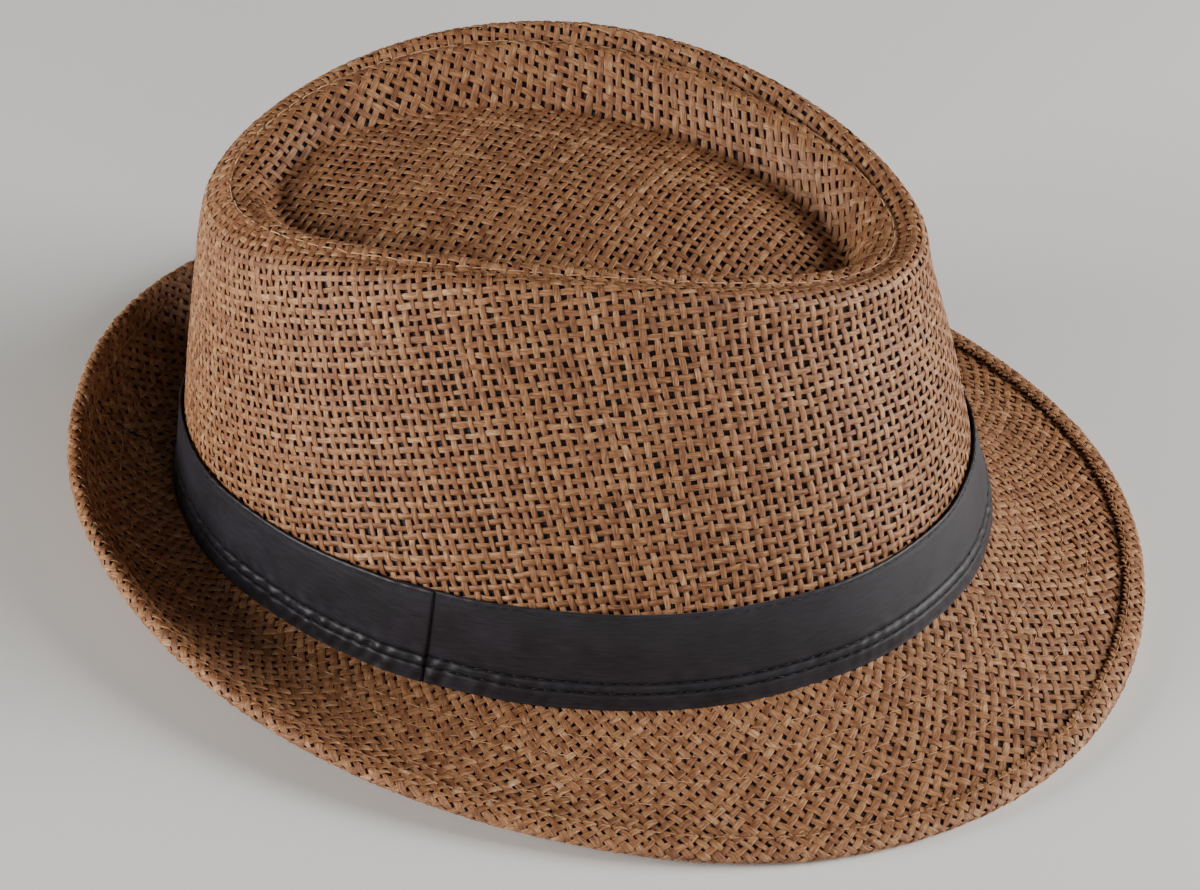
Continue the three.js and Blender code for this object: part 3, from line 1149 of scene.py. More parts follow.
@dataclass(frozen=True)
class StrawCloth:
    """Open plain weave of twisted paper strands, one crossing every `pitch`."""

    pitch: float = 2.5
    width: float = 1.4
    thickness: float = 0.3
    sway: float = 0.13  # how far a strand goes over and under the middle of the cloth
    sink: float = 0.25  # depth of the cloth's middle below the skin
    wander: float = 0.09  # how far a strand strays sideways, in pitches
    uneven: float = 0.13  # spread of the strands' widths
    spread: float = 0.03  # how much wider a strand is over a crossing than under one
    girth_limits: tuple[float, float] = (0.62, 1.32)
    tint_spread: float = 0.07  # of one strand against the next
    tint_change: float = 0.09  # along a strand
    tint_limits: tuple[float, float] = (0.3, 0.7)
    tremble: float = 0.03  # how far a crossing strays, in pitches along and mm in height

    def weave(
        self,
        name: str,
        cloth: ClothMap,
        running: Running,
        lines: range,
        crossings: range,
        seed: int,
        closed: bool = False,
        skew: int = 0,
    ) -> bpy.types.Object:
        """Weaves one set of strands over a cloth.

        Args:
            name: name of the new piece.
            cloth: map from cloth coordinates, in crossings, to points, normals and
                whether cloth is there.  Its first coordinate counts warp crossings.
            running: which set this is.
            lines: numbers of the strands.
            crossings: numbers of the crossings on each strand.
            seed: seed of the strands' own unevenness.
            closed: whether each strand is a ring whose last point is its first.
            skew: crossings by which each strand starts later than the one before it.

        Returns:
            The piece, without a material.
        """
        rng = np.random.default_rng(seed)
        steps = 2 * len(crossings) + (1 if closed else 0)
        bm, line, point = net_mesh(name, len(lines), steps, lines_only=True)
        place = np.arange(steps) * 0.5 - 0.25 + crossings.start
        number = np.array(lines)
        crossing = np.arange(steps) // 2 + crossings.start
        if closed:
            crossing[-1] = crossings.start
        stray, girth, tint, slip = self.unevenness(rng, len(lines), len(crossings), closed)

        along = place[None, :] + skew * number[:, None] + slip
        across = number[:, None] + stray
        pair = (along, across) if running is Running.WARP else (across, along)
        points, normals, inside = cloth(*pair)
        met = crossing[None, :] + (1 + skew) * number[:, None]
        over = np.where(met % 2 == 0, 1, -1) * running.value
        girth = girth * (1 + self.spread * over)
        height = over * self.sway - self.sink + rng.normal(0, self.tremble, over.shape)
        if closed:
            height[:, -1] = height[:, 0]
            ahead = np.roll(points[:, :-1], -1, axis=1) - np.roll(points[:, :-1], 1, axis=1)
            ahead = np.concatenate([ahead, ahead[:, :1]], axis=1)
        else:
            ahead = np.gradient(points, axis=1)
        side = unit(np.cross(normals, unit(ahead)))
        points = points + normals * height[..., None]

        kept = inside[line, point]
        bm.verts.ensure_lookup_table()
        lost = [bm.verts[index] for index in np.flatnonzero(~kept)]
        bmesh.ops.delete(bm, geom=lost, context="VERTS")
        line, point = line[kept], point[kept]
        mesh = to_mesh(name, bm)
        place_vertices(mesh, FORM.to_rest(points[line, point]))
        store(mesh, "side", side[line, point] @ REST_TURN.T)
        store(mesh, "girth", girth[line, point])
        store(mesh, "tint", tint[line, point])
        # each strand has its own stretch of the fibre pattern
        own = number[line] * 7.31 + running.value * 3.7 + seed
        lie = np.stack([place[point] * self.pitch, np.zeros(len(point)), own], axis=-1)
        store(mesh, "lie", lie)
        if closed:
            bm = bmesh.new()
            bm.from_mesh(mesh)
            bmesh.ops.remove_doubles(bm, verts=bm.verts, dist=0.01 * MM)
            bm.to_mesh(mesh)
            bm.free()
        return StrandSweep(self.width, self.thickness).run(to_object(name, mesh))

    def unevenness(
        self, rng: np.random.Generator, lines: int, crossings: int, closed: bool
    ) -> tuple[Array, Array, Array, Array]:
        """Draws what makes each strand differ from an even one.

        Args:
            rng: where the draws come from.
            lines: how many strands.
            crossings: how many crossings each makes.
            closed: whether the strands are rings.

        Returns:
            How far each point strays sideways, its width's share, its tint and how far
            it slips along the strand.
        """
        steps = 2 * crossings + (1 if closed else 0)
        phase = np.linspace(0, FULL_TURN, steps, endpoint=closed)[None, :]
        stray = np.zeros((lines, steps))
        thick = np.zeros((lines, steps))
        for waves in rng.integers(2, max(crossings // 4, 4), (4, lines)):
            shift = rng.uniform(0, FULL_TURN, (lines, 1))
            size = rng.normal(0, 0.5, (lines, 1))
            stray += size * np.sin(waves[:, None] * phase + shift)
            size = rng.normal(0, 0.35, (lines, 1))
            thick += size * np.sin(waves[:, None] * phase + shift * 1.7)
        stray *= self.wander
        girth = 1 + self.uneven * (rng.normal(0, 0.8, (lines, 1)) + thick)
        girth = np.clip(girth, *self.girth_limits)
        tint = np.clip(rng.normal(0.5, self.tint_spread, (lines, 1)), *self.tint_limits)
        tint = tint + rng.normal(0, self.tint_change, (lines, steps))
        slip = rng.normal(0, self.tremble, (lines, steps))
        if closed:
            for table in (tint, slip):
                table[:, -1] = table[:, 0]
        return stray, girth, tint, slip


@dataclass(frozen=True)
class StitchRow:
    """A row of short stitches along a line on the hat."""

    stitch: float
    spacing: float
    thickness: float = 0.2
    proud: float = 0.04  # height of a stitch's middle above the skin
    dip: float = 0.45  # depth of its ends
    jitter: float = 0.2
    lengths: tuple[float, float] = (0.8, 1.12)  # shortest and longest, as shares of `stitch`
    tints: tuple[float, float] = (0.2, 0.9)
    # places along half a stitch, and their heights as shares of `proud` and `dip`
    shares: tuple[float, ...] = (-1.0, -0.72, 0.0, 0.72, 1.0)
    rises: tuple[float, ...] = (0.0, 0.6, 1.0, 0.6, 0.0)
    dips: tuple[float, ...] = (1.0, 0.0, 0.0, 0.0, 1.0)

    def sew(
        self, name: str, skins: list[tuple[Skin, Callable[[Array], Array]]], seed: int
    ) -> bpy.types.Object:
        """Sews closed rows of stitches as one piece.

        Args:
            name: name of the piece.
            skins: for each row, its skin and its run at each angle.
            seed: seed of the stitches' own unevenness.

        Returns:
            The piece, without a material.
        """
        rng = np.random.default_rng(seed)
        shares = np.array(self.shares)[None, :]
        lift = self.proud * np.array(self.rises) - self.dip * np.array(self.dips)
        points, sides, tints = [], [], []
        for skin, run in skins:
            angle = np.linspace(0, FULL_TURN, 2 * RING_STEPS + 1)
            reached = reached_along(skin.read(angle, run(angle))[0])
            count = int(reached[-1] / self.spacing)
            middle = (np.arange(count) + 0.5) * reached[-1] / count
            middle = middle + rng.normal(0, self.jitter, count)
            half = self.stitch / 2 * rng.uniform(*self.lengths, count)
            at = middle[:, None] + half[:, None] * shares
            where = np.interp(np.mod(at, reached[-1]), reached, angle)
            slant = rng.normal(0, self.jitter, (count, 1)) * shares
            sway = rng.normal(0, self.jitter * 0.5, (count, 1))
            place, normals = skin.read(where, run(where) + slant + sway)
            sides.append(unit(np.cross(normals, unit(np.gradient(place, axis=1)))))
            points.append(place + normals * lift[None, :, None])
            tints.append(rng.uniform(*self.tints, (count, 1)))
        points, side, tint = (np.concatenate(part) for part in (points, sides, tints))
        bm, line, point = net_mesh(name, *points.shape[:2], lines_only=True)
        mesh = to_mesh(name, bm)
        place_vertices(mesh, FORM.to_rest(points[line, point]))
        store(mesh, "side", side[line, point] @ REST_TURN.T)
        store(mesh, "girth", np.ones(len(line)))
        store(mesh, "tint", tint[line, 0])
        along = point * self.stitch / len(self.shares)
        store(mesh, "lie", np.stack([along, np.zeros(len(point)), line * 3.1], axis=-1))
        sweep = StrandSweep(self.thickness, self.thickness * 0.8, shoulder=0.6)
        return sweep.run(to_object(name, mesh))


# ---------------------------------------------------------------- shells and pieces


@dataclass(frozen=True)
class BackingShell:
    """A thin closed sheet of backing cloth that lies under a skin."""

    depth: float = 0.95  # of its outer face below the skin
    wall: float = 0.4
    turns: int = 192
    rows: int = 32
    pattern_radius: float = 95.0  # radius at which its woven pattern is true to size

    def make(
        self, name: str, skin: Skin, runs: Callable[[Array, Array], Array]
    ) -> bpy.types.Object:
        """Makes the shell.

        Args:
            name: name of the piece.
            skin: the skin above it.
            runs: run along the skin for each angle and share of the way.

        Returns:
            The piece, without a material.
        """
        bm, line, point = net_mesh(name, self.rows + 1, self.turns + 1, lines_only=False)
        mesh = to_mesh(name, bm)
        angle = point / self.turns * FULL_TURN
        run = runs(angle, line / self.rows)
        points, normals = skin.read(angle, run)
        points = FORM.to_rest(points - normals * self.depth)
        place_vertices(mesh, points)
        lay_pattern(mesh, angle * self.pattern_radius, run)
        bm = bmesh.new()
        bm.from_mesh(mesh)
        bmesh.ops.remove_doubles(bm, verts=bm.verts, dist=0.02 * MM)
        bmesh.ops.recalc_face_normals(bm, faces=bm.faces)
        thicken(bm, points, normals, self.wall)
        bmesh.ops.recalc_face_normals(bm, faces=bm.faces)
        bm.to_mesh(mesh)
        bm.free()
        return to_object(name, mesh)


def tucked(points: Array, normals: Array, run: Array) -> Array:
    """Points of cloth that dives into a seam at run 0."""
    depth, reach = 0.12, 0.8
    return points - normals * (depth * hill(run, reach))[..., None]


@dataclass
class Crown:
    """The crown: a straw side and a straw tip, each with its backing, and their seam."""

    cloth: StrawCloth = field(default_factory=StrawCloth)
    side_width: float = 1.5
    columns: int = 196
    front_stretch: float = 0.24  # how much wider the columns stand at the front
    front_focus: float = 1.2  # how closely that keeps to the front
    even_level: float = 0.6  # share of the side's height at which they are spaced
    row_pitch: float = 2.62
    row_drift: float = 14.5  # the rows rise towards the front on the wearer's right
    lean: float = 0.26  # slope of the columns where the cloth was drawn forward
    lean_angle: float = 225.0
    lean_spread: float = 1.27  # in radians
    lean_level: float = 25.0  # run at which the columns keep their even spacing
    lean_radius: float = 80.0
    under_ribbon: float = 2.5  # how far the cloth goes on below the ribbon's edge
    tip_width: float = 1.7
    tip_stretch: float = 3.0  # pitch across the tip, where blocking has drawn the cloth out
    # half the tip's cloth across and along, as shares of the tip's longest run
    tip_reach: tuple[float, float] = (0.86, 1.05)
    side_tuck: float = 0.5  # how far each cloth is followed past its seam
    tip_tuck: float = 0.7
    seam_clearance: float = 0.2
    seam_stitch_run: float = 0.7

    def build(
        self, straw: bpy.types.Material, backing: bpy.types.Material, thread: bpy.types.Material
    ) -> None:
        """Builds and dresses every piece of the crown."""
        side = CrownSideSkin(FORM)
        tip = CrownTipSkin(FORM)
        shell = BackingShell()
        wall = shell.make("crown_shell", side, lambda a, s: s * side.length_at(a))
        dress(wall, "crown_straw", backing, "crown_side")
        dish = shell.make("tip_shell", tip, lambda a, s: s * tip.length_at(a))
        dress(dish, "tip_straw", backing, "crown_tip")
        self.weave_side(side, straw)
        self.weave_tip(tip, straw)
        along_seam = [(tip, lambda a: np.full_like(a, self.seam_stitch_run))]
        stitch = StitchRow(stitch=3.8, spacing=4.3, thickness=0.3, proud=0.1, jitter=0.12)
        seam = stitch.sew("crown_seam_stitches", along_seam, 31)
        dress(seam, "crown_straw", thread)

    def weave_side(self, side: CrownSideSkin, straw: bpy.types.Material) -> None:
        """Weaves the crown's side: columns run down it, courses are rings."""
        angle = net_angles()
        middle, _ = side.read(angle, side.ribbon_at(angle) * self.even_level)
        steps = np.linalg.norm(np.roll(middle, -1, axis=0) - middle, axis=-1)
        front = (0.5 + 0.5 * np.cos(angle)) ** self.front_focus
        steps = steps / (1 + self.front_stretch * front)
        reached = np.concatenate([[0], np.cumsum(steps)]) / steps.sum() * self.columns
        known = np.append(angle, FULL_TURN)
        lowest = -self.row_pitch / 2

        def cloth(column: Array, row: Array) -> tuple[Array, Array, Array]:
            """The cloth of the side, its rows drifting and its columns leaning."""
            where = np.interp(np.mod(column, self.columns), reached, known)
            drift = self.row_drift * np.sin(where - math.radians(270))
            run = row * self.row_pitch + self.seam_clearance - drift
            away = np.mod(where - math.radians(self.lean_angle) + math.pi, FULL_TURN) - math.pi
            lean = self.lean * hill(away, self.lean_spread)
            where = where + lean * (run - self.lean_level) / self.lean_radius
            points, normals = side.read(where, np.maximum(run, -self.side_tuck))
            shown = (run > lowest) & (run < side.ribbon_at(where) + self.under_ribbon)
            return tucked(points, normals, run), normals, shown

        first = -int(self.row_drift / self.row_pitch) - 2
        last = int((max(side.ribbon_run) + self.row_drift) / self.row_pitch) + 3
        rows, columns = range(first, last), range(self.columns)
        weave = replace(self.cloth, width=self.side_width).weave
        strands = weave("crown_side_columns", cloth, Running.WEFT, columns, rows, 11)
        dress(strands, "crown_straw", straw)
        strands = weave(
            "crown_side_courses", cloth, Running.WARP, rows, columns, 12, closed=True
        )
        dress(strands, "crown_straw", straw)

    def weave_tip(self, tip: CrownTipSkin, straw: bpy.types.Material) -> None:
        """Weaves the crown's tip, drawn out across the dent."""
        pitch = self.cloth.pitch

        def cloth(column: Array, row: Array) -> tuple[Array, Array, Array]:
            """The cloth of the tip, blocked into the dent."""
            where, run = tip.lay(column * self.tip_stretch, row * pitch)
            points, normals = tip.read(where, np.maximum(run, -self.tip_tuck))
            return tucked(points, normals, run), normals, run > -pitch / 2

        across, along = (max(tip.lengths) * share for share in self.tip_reach)
        reach_x = int(across / self.tip_stretch) + 2
        reach_y = int(along / pitch) + 2
        columns, rows = range(-reach_x, reach_x + 1), range(-reach_y, reach_y + 1)
        weave = replace(self.cloth, width=self.tip_width).weave
        warp = weave("tip_warp", cloth, Running.WARP, rows, columns, 21)
        dress(warp, "tip_straw", straw)
        weft = weave("tip_weft", cloth, Running.WEFT, columns, rows, 22)
        dress(weft, "tip_straw", straw)


@dataclass
class Brim:
    """The brim: backing, a woven upper and under face, topstitching and bound edge."""

    cloth: StrawCloth = field(
        default_factory=lambda: StrawCloth(width=1.8, sway=0.15, pitch=2.8)
    )
    grain: float = -44.0  # from the brim's width to the cloth's columns: a bias strip
    ease: float = 20.0  # run at which the cloth keeps its flat pitch
    under_ribbon: float = 2.4  # how far the cloth goes in under the ribbon
    in_binding: float = 3.5  # distance from the edge at which it ends, in the binding
    backing_start: float = -1.0  # run at which the backing starts
    backing_end: float = 2.3  # distance from the edge at which it ends
    stitch_runs: tuple[float, ...] = (6.5, 13.0, 20.0, 27.0)

    def build(
        self, straw: bpy.types.Material, backing: bpy.types.Material, thread: bpy.types.Material
    ) -> None:
        """Builds and dresses every piece of the brim."""
        upper = BrimSkin(FORM, BrimFace.UPPER)
        under = BrimSkin(FORM, BrimFace.UNDER)
        self.weave_face(upper, "upper", 41, straw)
        self.weave_face(under, "under", 51, straw)
        start, spare = self.backing_start, self.backing_start + self.backing_end
        core = BackingShell(depth=0.75, wall=0.3, rows=24).make(
            "brim_shell", upper, lambda a, s: start + s * (FORM.brim_width(a) - spare)
        )
        dress(core, "brim_straw", backing, "brim")
        rows = [(upper, lambda a, r=run: np.full_like(a, r)) for run in self.stitch_runs]
        sewn = StitchRow(stitch=3.6, spacing=4.6).sew("brim_topstitching", rows, 61)
        dress(sewn, "brim_straw", thread)

    def weave_face(
        self, skin: BrimSkin, word: str, seed: int, straw: bpy.types.Material
    ) -> None:
        """Weaves one face of the brim from a strip that was cut on the bias.

        Args:
            skin: the face.
            word: the face's word in the names of its pieces.
            seed: seed of its strands' unevenness.
            straw: the finish.
        """
        pitch = self.cloth.pitch
        angle = np.linspace(0, FULL_TURN, RING_STEPS + 1)
        reached = reached_along(FORM.head_seam(angle))
        turned = reached / reached[-1] * FULL_TURN
        eased = reached[-1] / FULL_TURN + self.ease
        sine, cosine = math.sin(math.radians(self.grain)), math.cos(math.radians(self.grain))

        def cloth(column: Array, row: Array) -> tuple[Array, Array, Array]:
            """The strip, joined at the back, with the same grain all the way round."""
            x, y = column * pitch, row * pitch
            along = (x * cosine - y * sine) / eased
            run = x * sine + y * cosine + self.ease
            where = np.interp(np.mod(along, FULL_TURN), turned, angle)
            width = FORM.brim_width(where)
            points, normals = skin.read(where, np.clip(run, -3, width))
            shown = (run > -self.under_ribbon) & (run < width - self.in_binding)
            return points, normals, shown & (np.abs(along) <= math.pi)

        reach = (math.pi * eased * max(cosine, -sine) + self.ease + 10) / pitch
        reach = int(reach) + 2
        span = range(-reach, reach + 1)
        for running in Running:
            piece = self.cloth.weave(
                f"brim_{word}_{running.name.lower()}",
                cloth,
                running,
                span,
                span,
                seed + running.value,
            )
            dress(piece, "brim_straw", straw)


@dataclass
class Binding:
    """The strip of the same cloth, cut on the bias and folded over the brim's edge."""

    cloth: StrawCloth = field(
        default_factory=lambda: StrawCloth(width=1.7, sway=0.14, pitch=2.55)
    )
    bared: float = 1.1  # how far the backing stays back from the strip's edges
    stitch_run: float = 1.4

    def build(
        self, straw: bpy.types.Material, backing: bpy.types.Material, thread: bpy.types.Material
    ) -> None:
        """Builds and dresses the binding's straw, backing and hem stitches."""
        skin = BindingSkin(FORM)
        angle = np.linspace(0, FULL_TURN, RING_STEPS + 1)
        edge, _ = skin.read(angle, np.full_like(angle, skin.length / 2))
        reached = reached_along(edge)
        diagonal = math.sqrt(2)
        strands = round(reached[-1] / diagonal / self.cloth.pitch)
        pitch = reached[-1] / diagonal / strands
        crossings = int(skin.length * diagonal / pitch) + 2

        def cloth(column: Array, row: Array) -> tuple[Array, Array, Array]:
            """The strip's cloth, whose strands run at 45 degrees to the edge."""
            where = np.mod((column + row) * pitch / diagonal, reached[-1])
            run = (column - row) * pitch / diagonal
            safe = np.clip(run, 0, skin.length)
            points, normals = skin.read(np.interp(where, reached, angle), safe)
            return points, normals, run == safe

        for running, first, seed in ((Running.WARP, 0, 71), (Running.WEFT, 1 - crossings, 72)):
            piece = self.cloth.weave(
                f"binding_{running.name.lower()}",
                cloth,
                running,
                range(strands),
                range(first, first + crossings),
                seed,
                skew=1,
            )
            dress(piece, "binding_straw", straw)
        shell = BackingShell(depth=0.75, wall=0.3, rows=16).make(
            "binding_shell",
            skin,
            lambda a, s: self.bared + s * (skin.length - 2 * self.bared),
        )
        dress(shell, "binding_straw", backing, "brim_binding")
        hem = [(skin, lambda a: np.full_like(a, self.stitch_run))]
        sewn = StitchRow(stitch=2.8, spacing=3.8).sew("binding_stitches", hem, 81)
        dress(sewn, "binding_straw", thread)


# ---------------------------------------------------------------- ribbon


class RibbonSkin(Skin):
    """Outer face of the ribbon: run 0 is its lower edge, and the run goes up."""

    FOOT_GAP = 0.2  # height of the lower edge above the seam line
    BELLY, BELLY_REACH = 0.25, 2.2  # how far it swells at its lip
    LEAN = 0.004  # turn of the puckers for each millimetre of height
    TIGHT, LOOSENED = 0.75, 1.1  # size of the puckers, and what a loose stretch adds
    LOOSE_ANGLE, LOOSE_REACH = math.radians(238), 0.42  # where the ribbon is loose
    ABOVE = 1.2  # height of the puckers' zone above the upper row
    FOLD_SIZES = (0.13, 0.08, 0.12)  # between the rows, above them and below them
    RIPPLE_SIZES = (0.08, 0.06, 0.04)  # between the rows, below them and at the rim
    DRAG_SIZE = 0.12
    PUFF, RIM = 0.05, 0.08  # swell between the rows and at the upper edge
    BETWEEN_REACH, BESIDE_REACH, RIM_REACH = 1.1, 1.8, 0.8
    CURL, CURL_REACH = 0.75, 2.4  # how far the lower edge turns in
    SUNK = (0.34, 0.46, 0.2)  # how deep each stitch row pulls it down
    SUNK_REACH = (0.4, 0.42, 0.35)

    def __init__(self, form: HatForm, rows: tuple[float, float, float]) -> None:
        """Keeps the heights of the stitch rows and draws the puckers.

        Args:
            form: form of the hat.
            rows: runs of the two lower rows, and the top row's distance from the edge.
        """
        self.form = form
        self.rows = rows
        rng = np.random.default_rng(91)
        self.folds = self.draw(rng, 52, 118, 14)
        self.ripples = self.draw(rng, 110, 190, 10)
        self.drags = self.draw(rng, 7, 26, 8)

    @staticmethod
    def draw(rng: np.random.Generator, least: int, most: int, number: int) -> RingWaves:
        """Draws ring waves: how often each rises in a turn, its shift and its size."""
        return [
            (count, rng.uniform(0, FULL_TURN), rng.normal(0, 0.5))
            for count in rng.integers(least, most, number)
        ]

    @staticmethod
    def gather(waves: RingWaves, angle: Array) -> Array:
        """Sum of ring waves at each angle."""
        return sum(size * np.sin(count * angle + shift) for count, shift, size in waves)

    def section(self, angle: Array) -> tuple[Array, Array, Array]:
        """Points of the ribbon's foot, lip and top at each angle."""
        form = self.form
        flare, height = form.ribbon_lip_flare, form.ribbon_lip_height
        foot = form.beside(form.head_seam, angle, 0.0, self.FOOT_GAP)
        return foot, form.beside(form.head_seam, angle, -flare, height), form.ribbon_top(angle)

    def height(self, angle: Array) -> Array:
        """Length of the ribbon's section from its lower to its upper edge."""
        foot, lip, top = self.section(angle)
        return np.linalg.norm(lip - foot, axis=-1) + np.linalg.norm(top - lip, axis=-1)

    def smooth(self, angle: Array, run: Array) -> Array:
        """Points of the ribbon before it is puckered."""
        foot, lip, top = self.section(angle)
        low = np.linalg.norm(lip - foot, axis=-1)
        high = np.linalg.norm(top - lip, axis=-1)
        down = np.clip(run / low, None, 1)[..., None]
        up = np.clip((run - low) / high, 0, None)[..., None]
        point = foot + (lip - foot) * down + (top - lip) * up
        belly = self.BELLY * hill(run - low, self.BELLY_REACH)
        return point + self.form.outward(self.form.head_seam, angle) * belly[..., None]

    def relief(self, angle: Array, run: Array) -> Array:
        """Height of the puckers: they stand between and beside the stitch rows."""
        lower, upper, top = self.rows
        edge = self.height(angle)
        turned = np.mod(angle, FULL_TURN)
        slack = hill(turned - self.LOOSE_ANGLE, self.LOOSE_REACH)
        loose = self.TIGHT + self.LOOSENED * slack
        between = hill(run - (lower + upper) / 2, self.BETWEEN_REACH)
        above = hill(run - upper - self.ABOVE, self.BESIDE_REACH) * (run > upper)
        below = hill(run - lower / 2, self.BESIDE_REACH)
        rim = hill(edge - run, self.RIM_REACH)
        lean = run * self.LEAN
        zones = ((self.FOLD_SIZES, between, above, below), (self.RIPPLE_SIZES, between, below, rim))
        folded, rippled = (
            sum(size * zone for size, zone in zip(sizes, places)) for sizes, *places in zones
        )
        relief = (
            loose * self.gather(self.folds, angle + lean) * folded
            + loose * self.gather(self.ripples, angle - lean) * rippled
            + self.DRAG_SIZE * self.gather(self.drags, angle + lean)
            + self.PUFF * between
            + self.RIM * rim
            - self.CURL * hill(run, self.CURL_REACH)
        )
        for row, depth, reach in zip((lower, upper, edge - top), self.SUNK, self.SUNK_REACH):
            relief = relief - depth * hill(run - row, reach)
        return relief

    def read(self, angle: Array, run: Array) -> tuple[Array, Array]:
        """Points and outward normals of the puckered ribbon."""
        point = self.smooth(angle, run)
        around = self.smooth(angle + NUDGE, run) - self.smooth(angle - NUDGE, run)
        up = self.smooth(angle, run + 2 * RISE) - self.smooth(angle, run - 2 * RISE)
        normal = unit(np.cross(around, up))
        return point + normal * self.relief(angle, run)[..., None], normal


@dataclass
class Hatband:
    """The satin ribbon: a strip lapped at the wearer's right, and its black stitches."""

    radius: float = 92.0  # of the ring, for turns along the strip
    lap_angle: float = 254.4
    lap_slant: float = 0.024  # how far the cut end leans towards the back at its foot
    lap: float = 9.0  # overlap of the two ends
    lap_climb: float = 0.09  # turn in which the far end climbs onto the near one
    lap_rise: float = 0.5
    sunk: float = 0.12  # how far the strip's face lies below its skin
    fullness: float = 1.035  # length of the flat strip for each length round its top
    wall: float = 0.45
    lower_row: float = 4.4
    upper_row: float = 7.0
    top_row: float = 1.2  # distance from the upper edge
    steps: int = 860
    rows: int = 44
    crowding: float = 1.35  # the mesh is finer towards the gathered foot

    def build(self, satin: bpy.types.Material, thread: bpy.types.Material) -> None:
        """Builds and dresses the ribbon and its stitches."""
        skin = RibbonSkin(FORM, (self.lower_row, self.upper_row, self.top_row))
        ribbon = self.strip(skin)
        dress(ribbon, "black_satin", satin, "hatband")
        stitch = StitchRow(
            stitch=2.3, spacing=3.1, thickness=0.24, proud=0.02, dip=0.4, jitter=0.14
        )
        rows = [
            (skin, lambda a: np.full_like(a, self.lower_row)),
            (skin, lambda a: np.full_like(a, self.upper_row)),
            (skin, lambda a: skin.height(a) - self.top_row),
        ]
        sewn = stitch.sew("ribbon_stitches", rows, 95)
        dress(sewn, "black_satin", thread)
        around = reached_along(FORM.ribbon_top(np.linspace(0, FULL_TURN, RING_STEPS + 1)))[-1]
        width = float(skin.height(np.linspace(0, FULL_TURN, 91)).mean()) * MM

    def strip(self, skin: RibbonSkin) -> bpy.types.Object:
        """Makes the strip, whose far end lies on the near one."""
        start = math.radians(self.lap_angle)
        extra = self.lap / self.radius
        ways = np.linspace(0, FULL_TURN + extra, self.steps)
        bm, line, point = net_mesh("ribbon", self.rows + 1, len(ways), lines_only=False)
        mesh = to_mesh("ribbon", bm)
        way = ways[point]
        share = (line / self.rows) ** self.crowding
        angle = start - extra + way + self.lap_slant * (share - 0.5)
        run = share * skin.height(angle)
        points, normals = skin.read(angle, run)
        on_top = np.clip((way - FULL_TURN) / self.lap_climb + 1, 0, 1)
        rise = self.lap_rise * on_top * on_top * (3 - 2 * on_top)
        points = FORM.to_rest(points + normals * (rise - self.sunk)[:, None])
        place_vertices(mesh, points)
        lay_pattern(mesh, way * self.radius, run)
        bm = bmesh.new()
        bm.from_mesh(mesh)
        thicken(bm, points, normals, self.wall)
        bm.to_mesh(mesh)
        bm.free()
        return to_object("ribbon", mesh)


# ---------------------------------------------------------------- studio


@dataclass(frozen=True)
class SoftBox:
    """A square area light: where it stands, its side and its power."""

    name: str
    place: tuple[float, float, float]
    side: float
    watts: float
    colour: str = "ffffff"


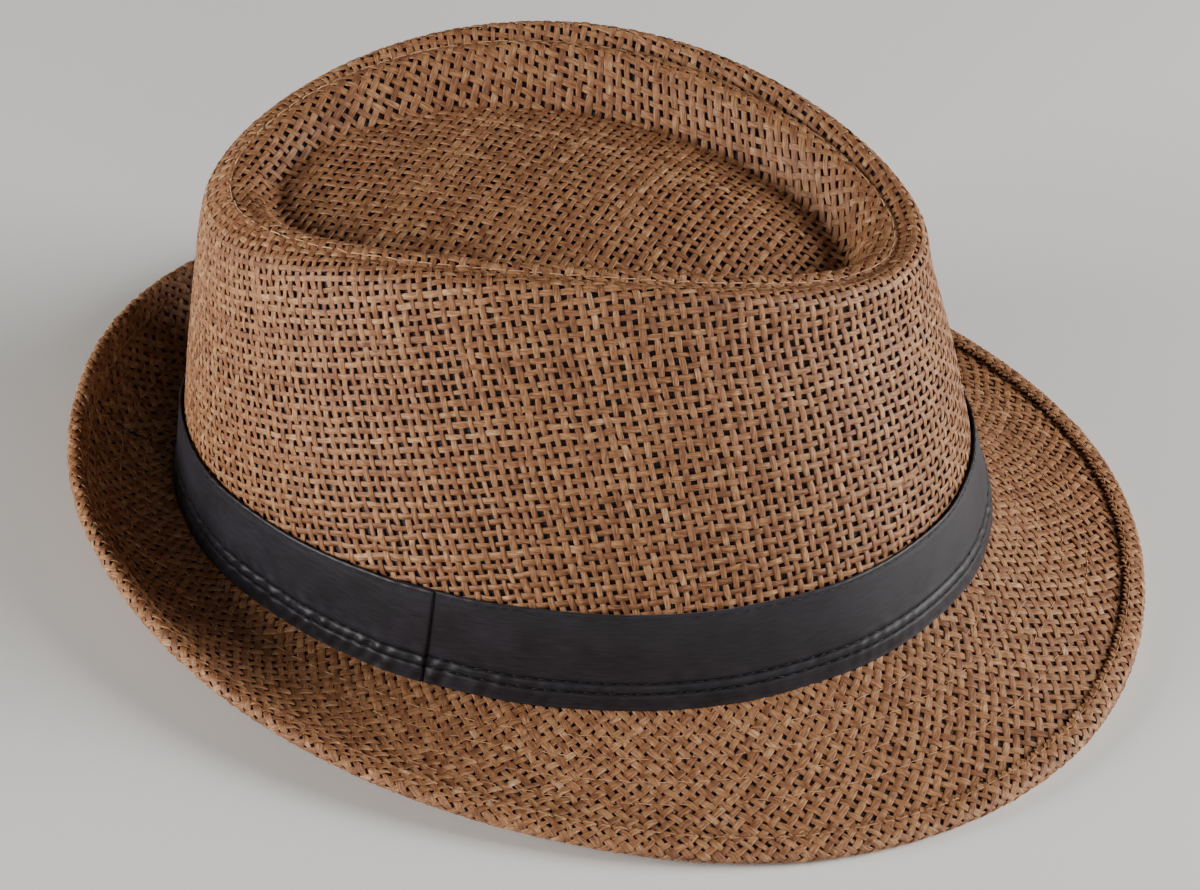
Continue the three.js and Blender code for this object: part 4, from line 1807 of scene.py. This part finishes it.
@dataclass
class Studio:
    """Plain pale floor, soft light and the camera."""

    aim: tuple[float, float, float] = (-0.0130, 0.00452, 0.03192)
    distance: float = 0.99393
    azimuth: float = -88.545
    elevation: float = 36.335
    roll: float = 8.292
    lens: float = 120.16
    sensor: float = 36.0
    surround: float = 0.055  # strength of the even light from all sides
    lit_point: tuple[float, float, float] = (0.0, 0.0, 0.05)
    lights: tuple[SoftBox, ...] = (
        SoftBox("front_box", (0.17, -1.34, 0.62), 0.9, 34.0, "fffcf8"),
        SoftBox("back_box", (-0.68, 1.24, 0.36), 0.55, 26.0, "fffcf8"),
        SoftBox("side_box", (-1.7, -0.6, 0.85), 0.8, 4.0, "ffffff"),
    )

    def build(self) -> None:
        """Builds the stage, the lights and the camera."""
        self.floor()
        for light in self.lights:
            self.lamp(light)
        self.sky()
        self.camera()

    def floor(self) -> None:
        """A wide matte floor at the height of the table."""
        bm = bmesh.new()
        bmesh.ops.create_grid(bm, x_segments=1, y_segments=1, size=6)
        made = to_object("floor", to_mesh("floor", bm))
        material, tree = new_material("painted_floor")
        shader = add_node(
            tree,
            "ShaderNodeBsdfPrincipled",
            {"Base Color": linear("f4f4f2"), "Roughness": 0.8},
        )
        add_node(tree, "ShaderNodeOutputMaterial", {"Surface": shader.outputs[0]})
        made.data.materials.append(material)

    def lamp(self, box: SoftBox) -> None:
        """A soft box that faces the hat."""
        data = bpy.data.lights.new(box.name, "AREA")
        data.shape, data.size, data.energy = "SQUARE", box.side, box.watts
        data.color = linear(box.colour)[:3]
        made = bpy.data.objects.new(box.name, data)
        made.location = box.place
        facing = Vector(self.lit_point) - Vector(box.place)
        made.rotation_euler = facing.to_track_quat("-Z", "Y").to_euler()
        bpy.context.scene.collection.objects.link(made)

    def sky(self) -> None:
        """An even pale surround."""
        world = bpy.data.worlds.new("surround")
        world.use_nodes = True
        shade = world.node_tree.nodes["Background"]
        shade.inputs["Color"].default_value = linear("f2f4f6")
        shade.inputs["Strength"].default_value = self.surround
        bpy.context.scene.world = world

    def camera(self) -> None:
        """The camera: it looks at the aim from its azimuth and elevation."""
        data = bpy.data.cameras.new("camera")
        data.lens, data.sensor_width = self.lens, self.sensor
        data.clip_start, data.clip_end = 0.01, 20.0
        made = bpy.data.objects.new("camera", data)
        turn, rise = math.radians(self.azimuth), math.radians(self.elevation)
        level = math.cos(rise)
        back = Vector((math.sin(turn) * level, -math.cos(turn) * level, math.sin(rise)))
        right = Vector((math.cos(turn), math.sin(turn), 0))
        up = back.cross(right)
        roll = math.radians(self.roll)
        turned = right * math.cos(roll) + up * math.sin(roll)
        axes = Matrix((turned, back.cross(turned), back)).transposed()
        place = Vector(self.aim) + back * self.distance
        made.matrix_world = Matrix.Translation(place) @ axes.to_4x4()
        bpy.context.scene.collection.objects.link(made)
        bpy.context.scene.camera = made


def main() -> None:
    """Builds the studio and the hat."""
    logging.basicConfig(level=logging.INFO, format="%(message)s", stream=sys.stdout)
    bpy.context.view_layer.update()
    Studio().build()
    straw = TwistedPaperStraw().build()
    backing = BackingCloth().build()
    pale_thread = SewingThread("tan_cotton_thread", "9c7454", "cfa67e").build()
    black_thread = SewingThread("black_polyester_thread", "0b0a0c", "1d1b20").build()
    band = Hatband()
    satin = BlackSatin((band.lower_row, band.upper_row)).build()
    Crown().build(straw, backing, pale_thread)
    Brim().build(straw, backing, pale_thread)
    Binding().build(straw, backing, pale_thread)
    band.build(satin, black_thread)


if __name__ == "__main__":
    main()
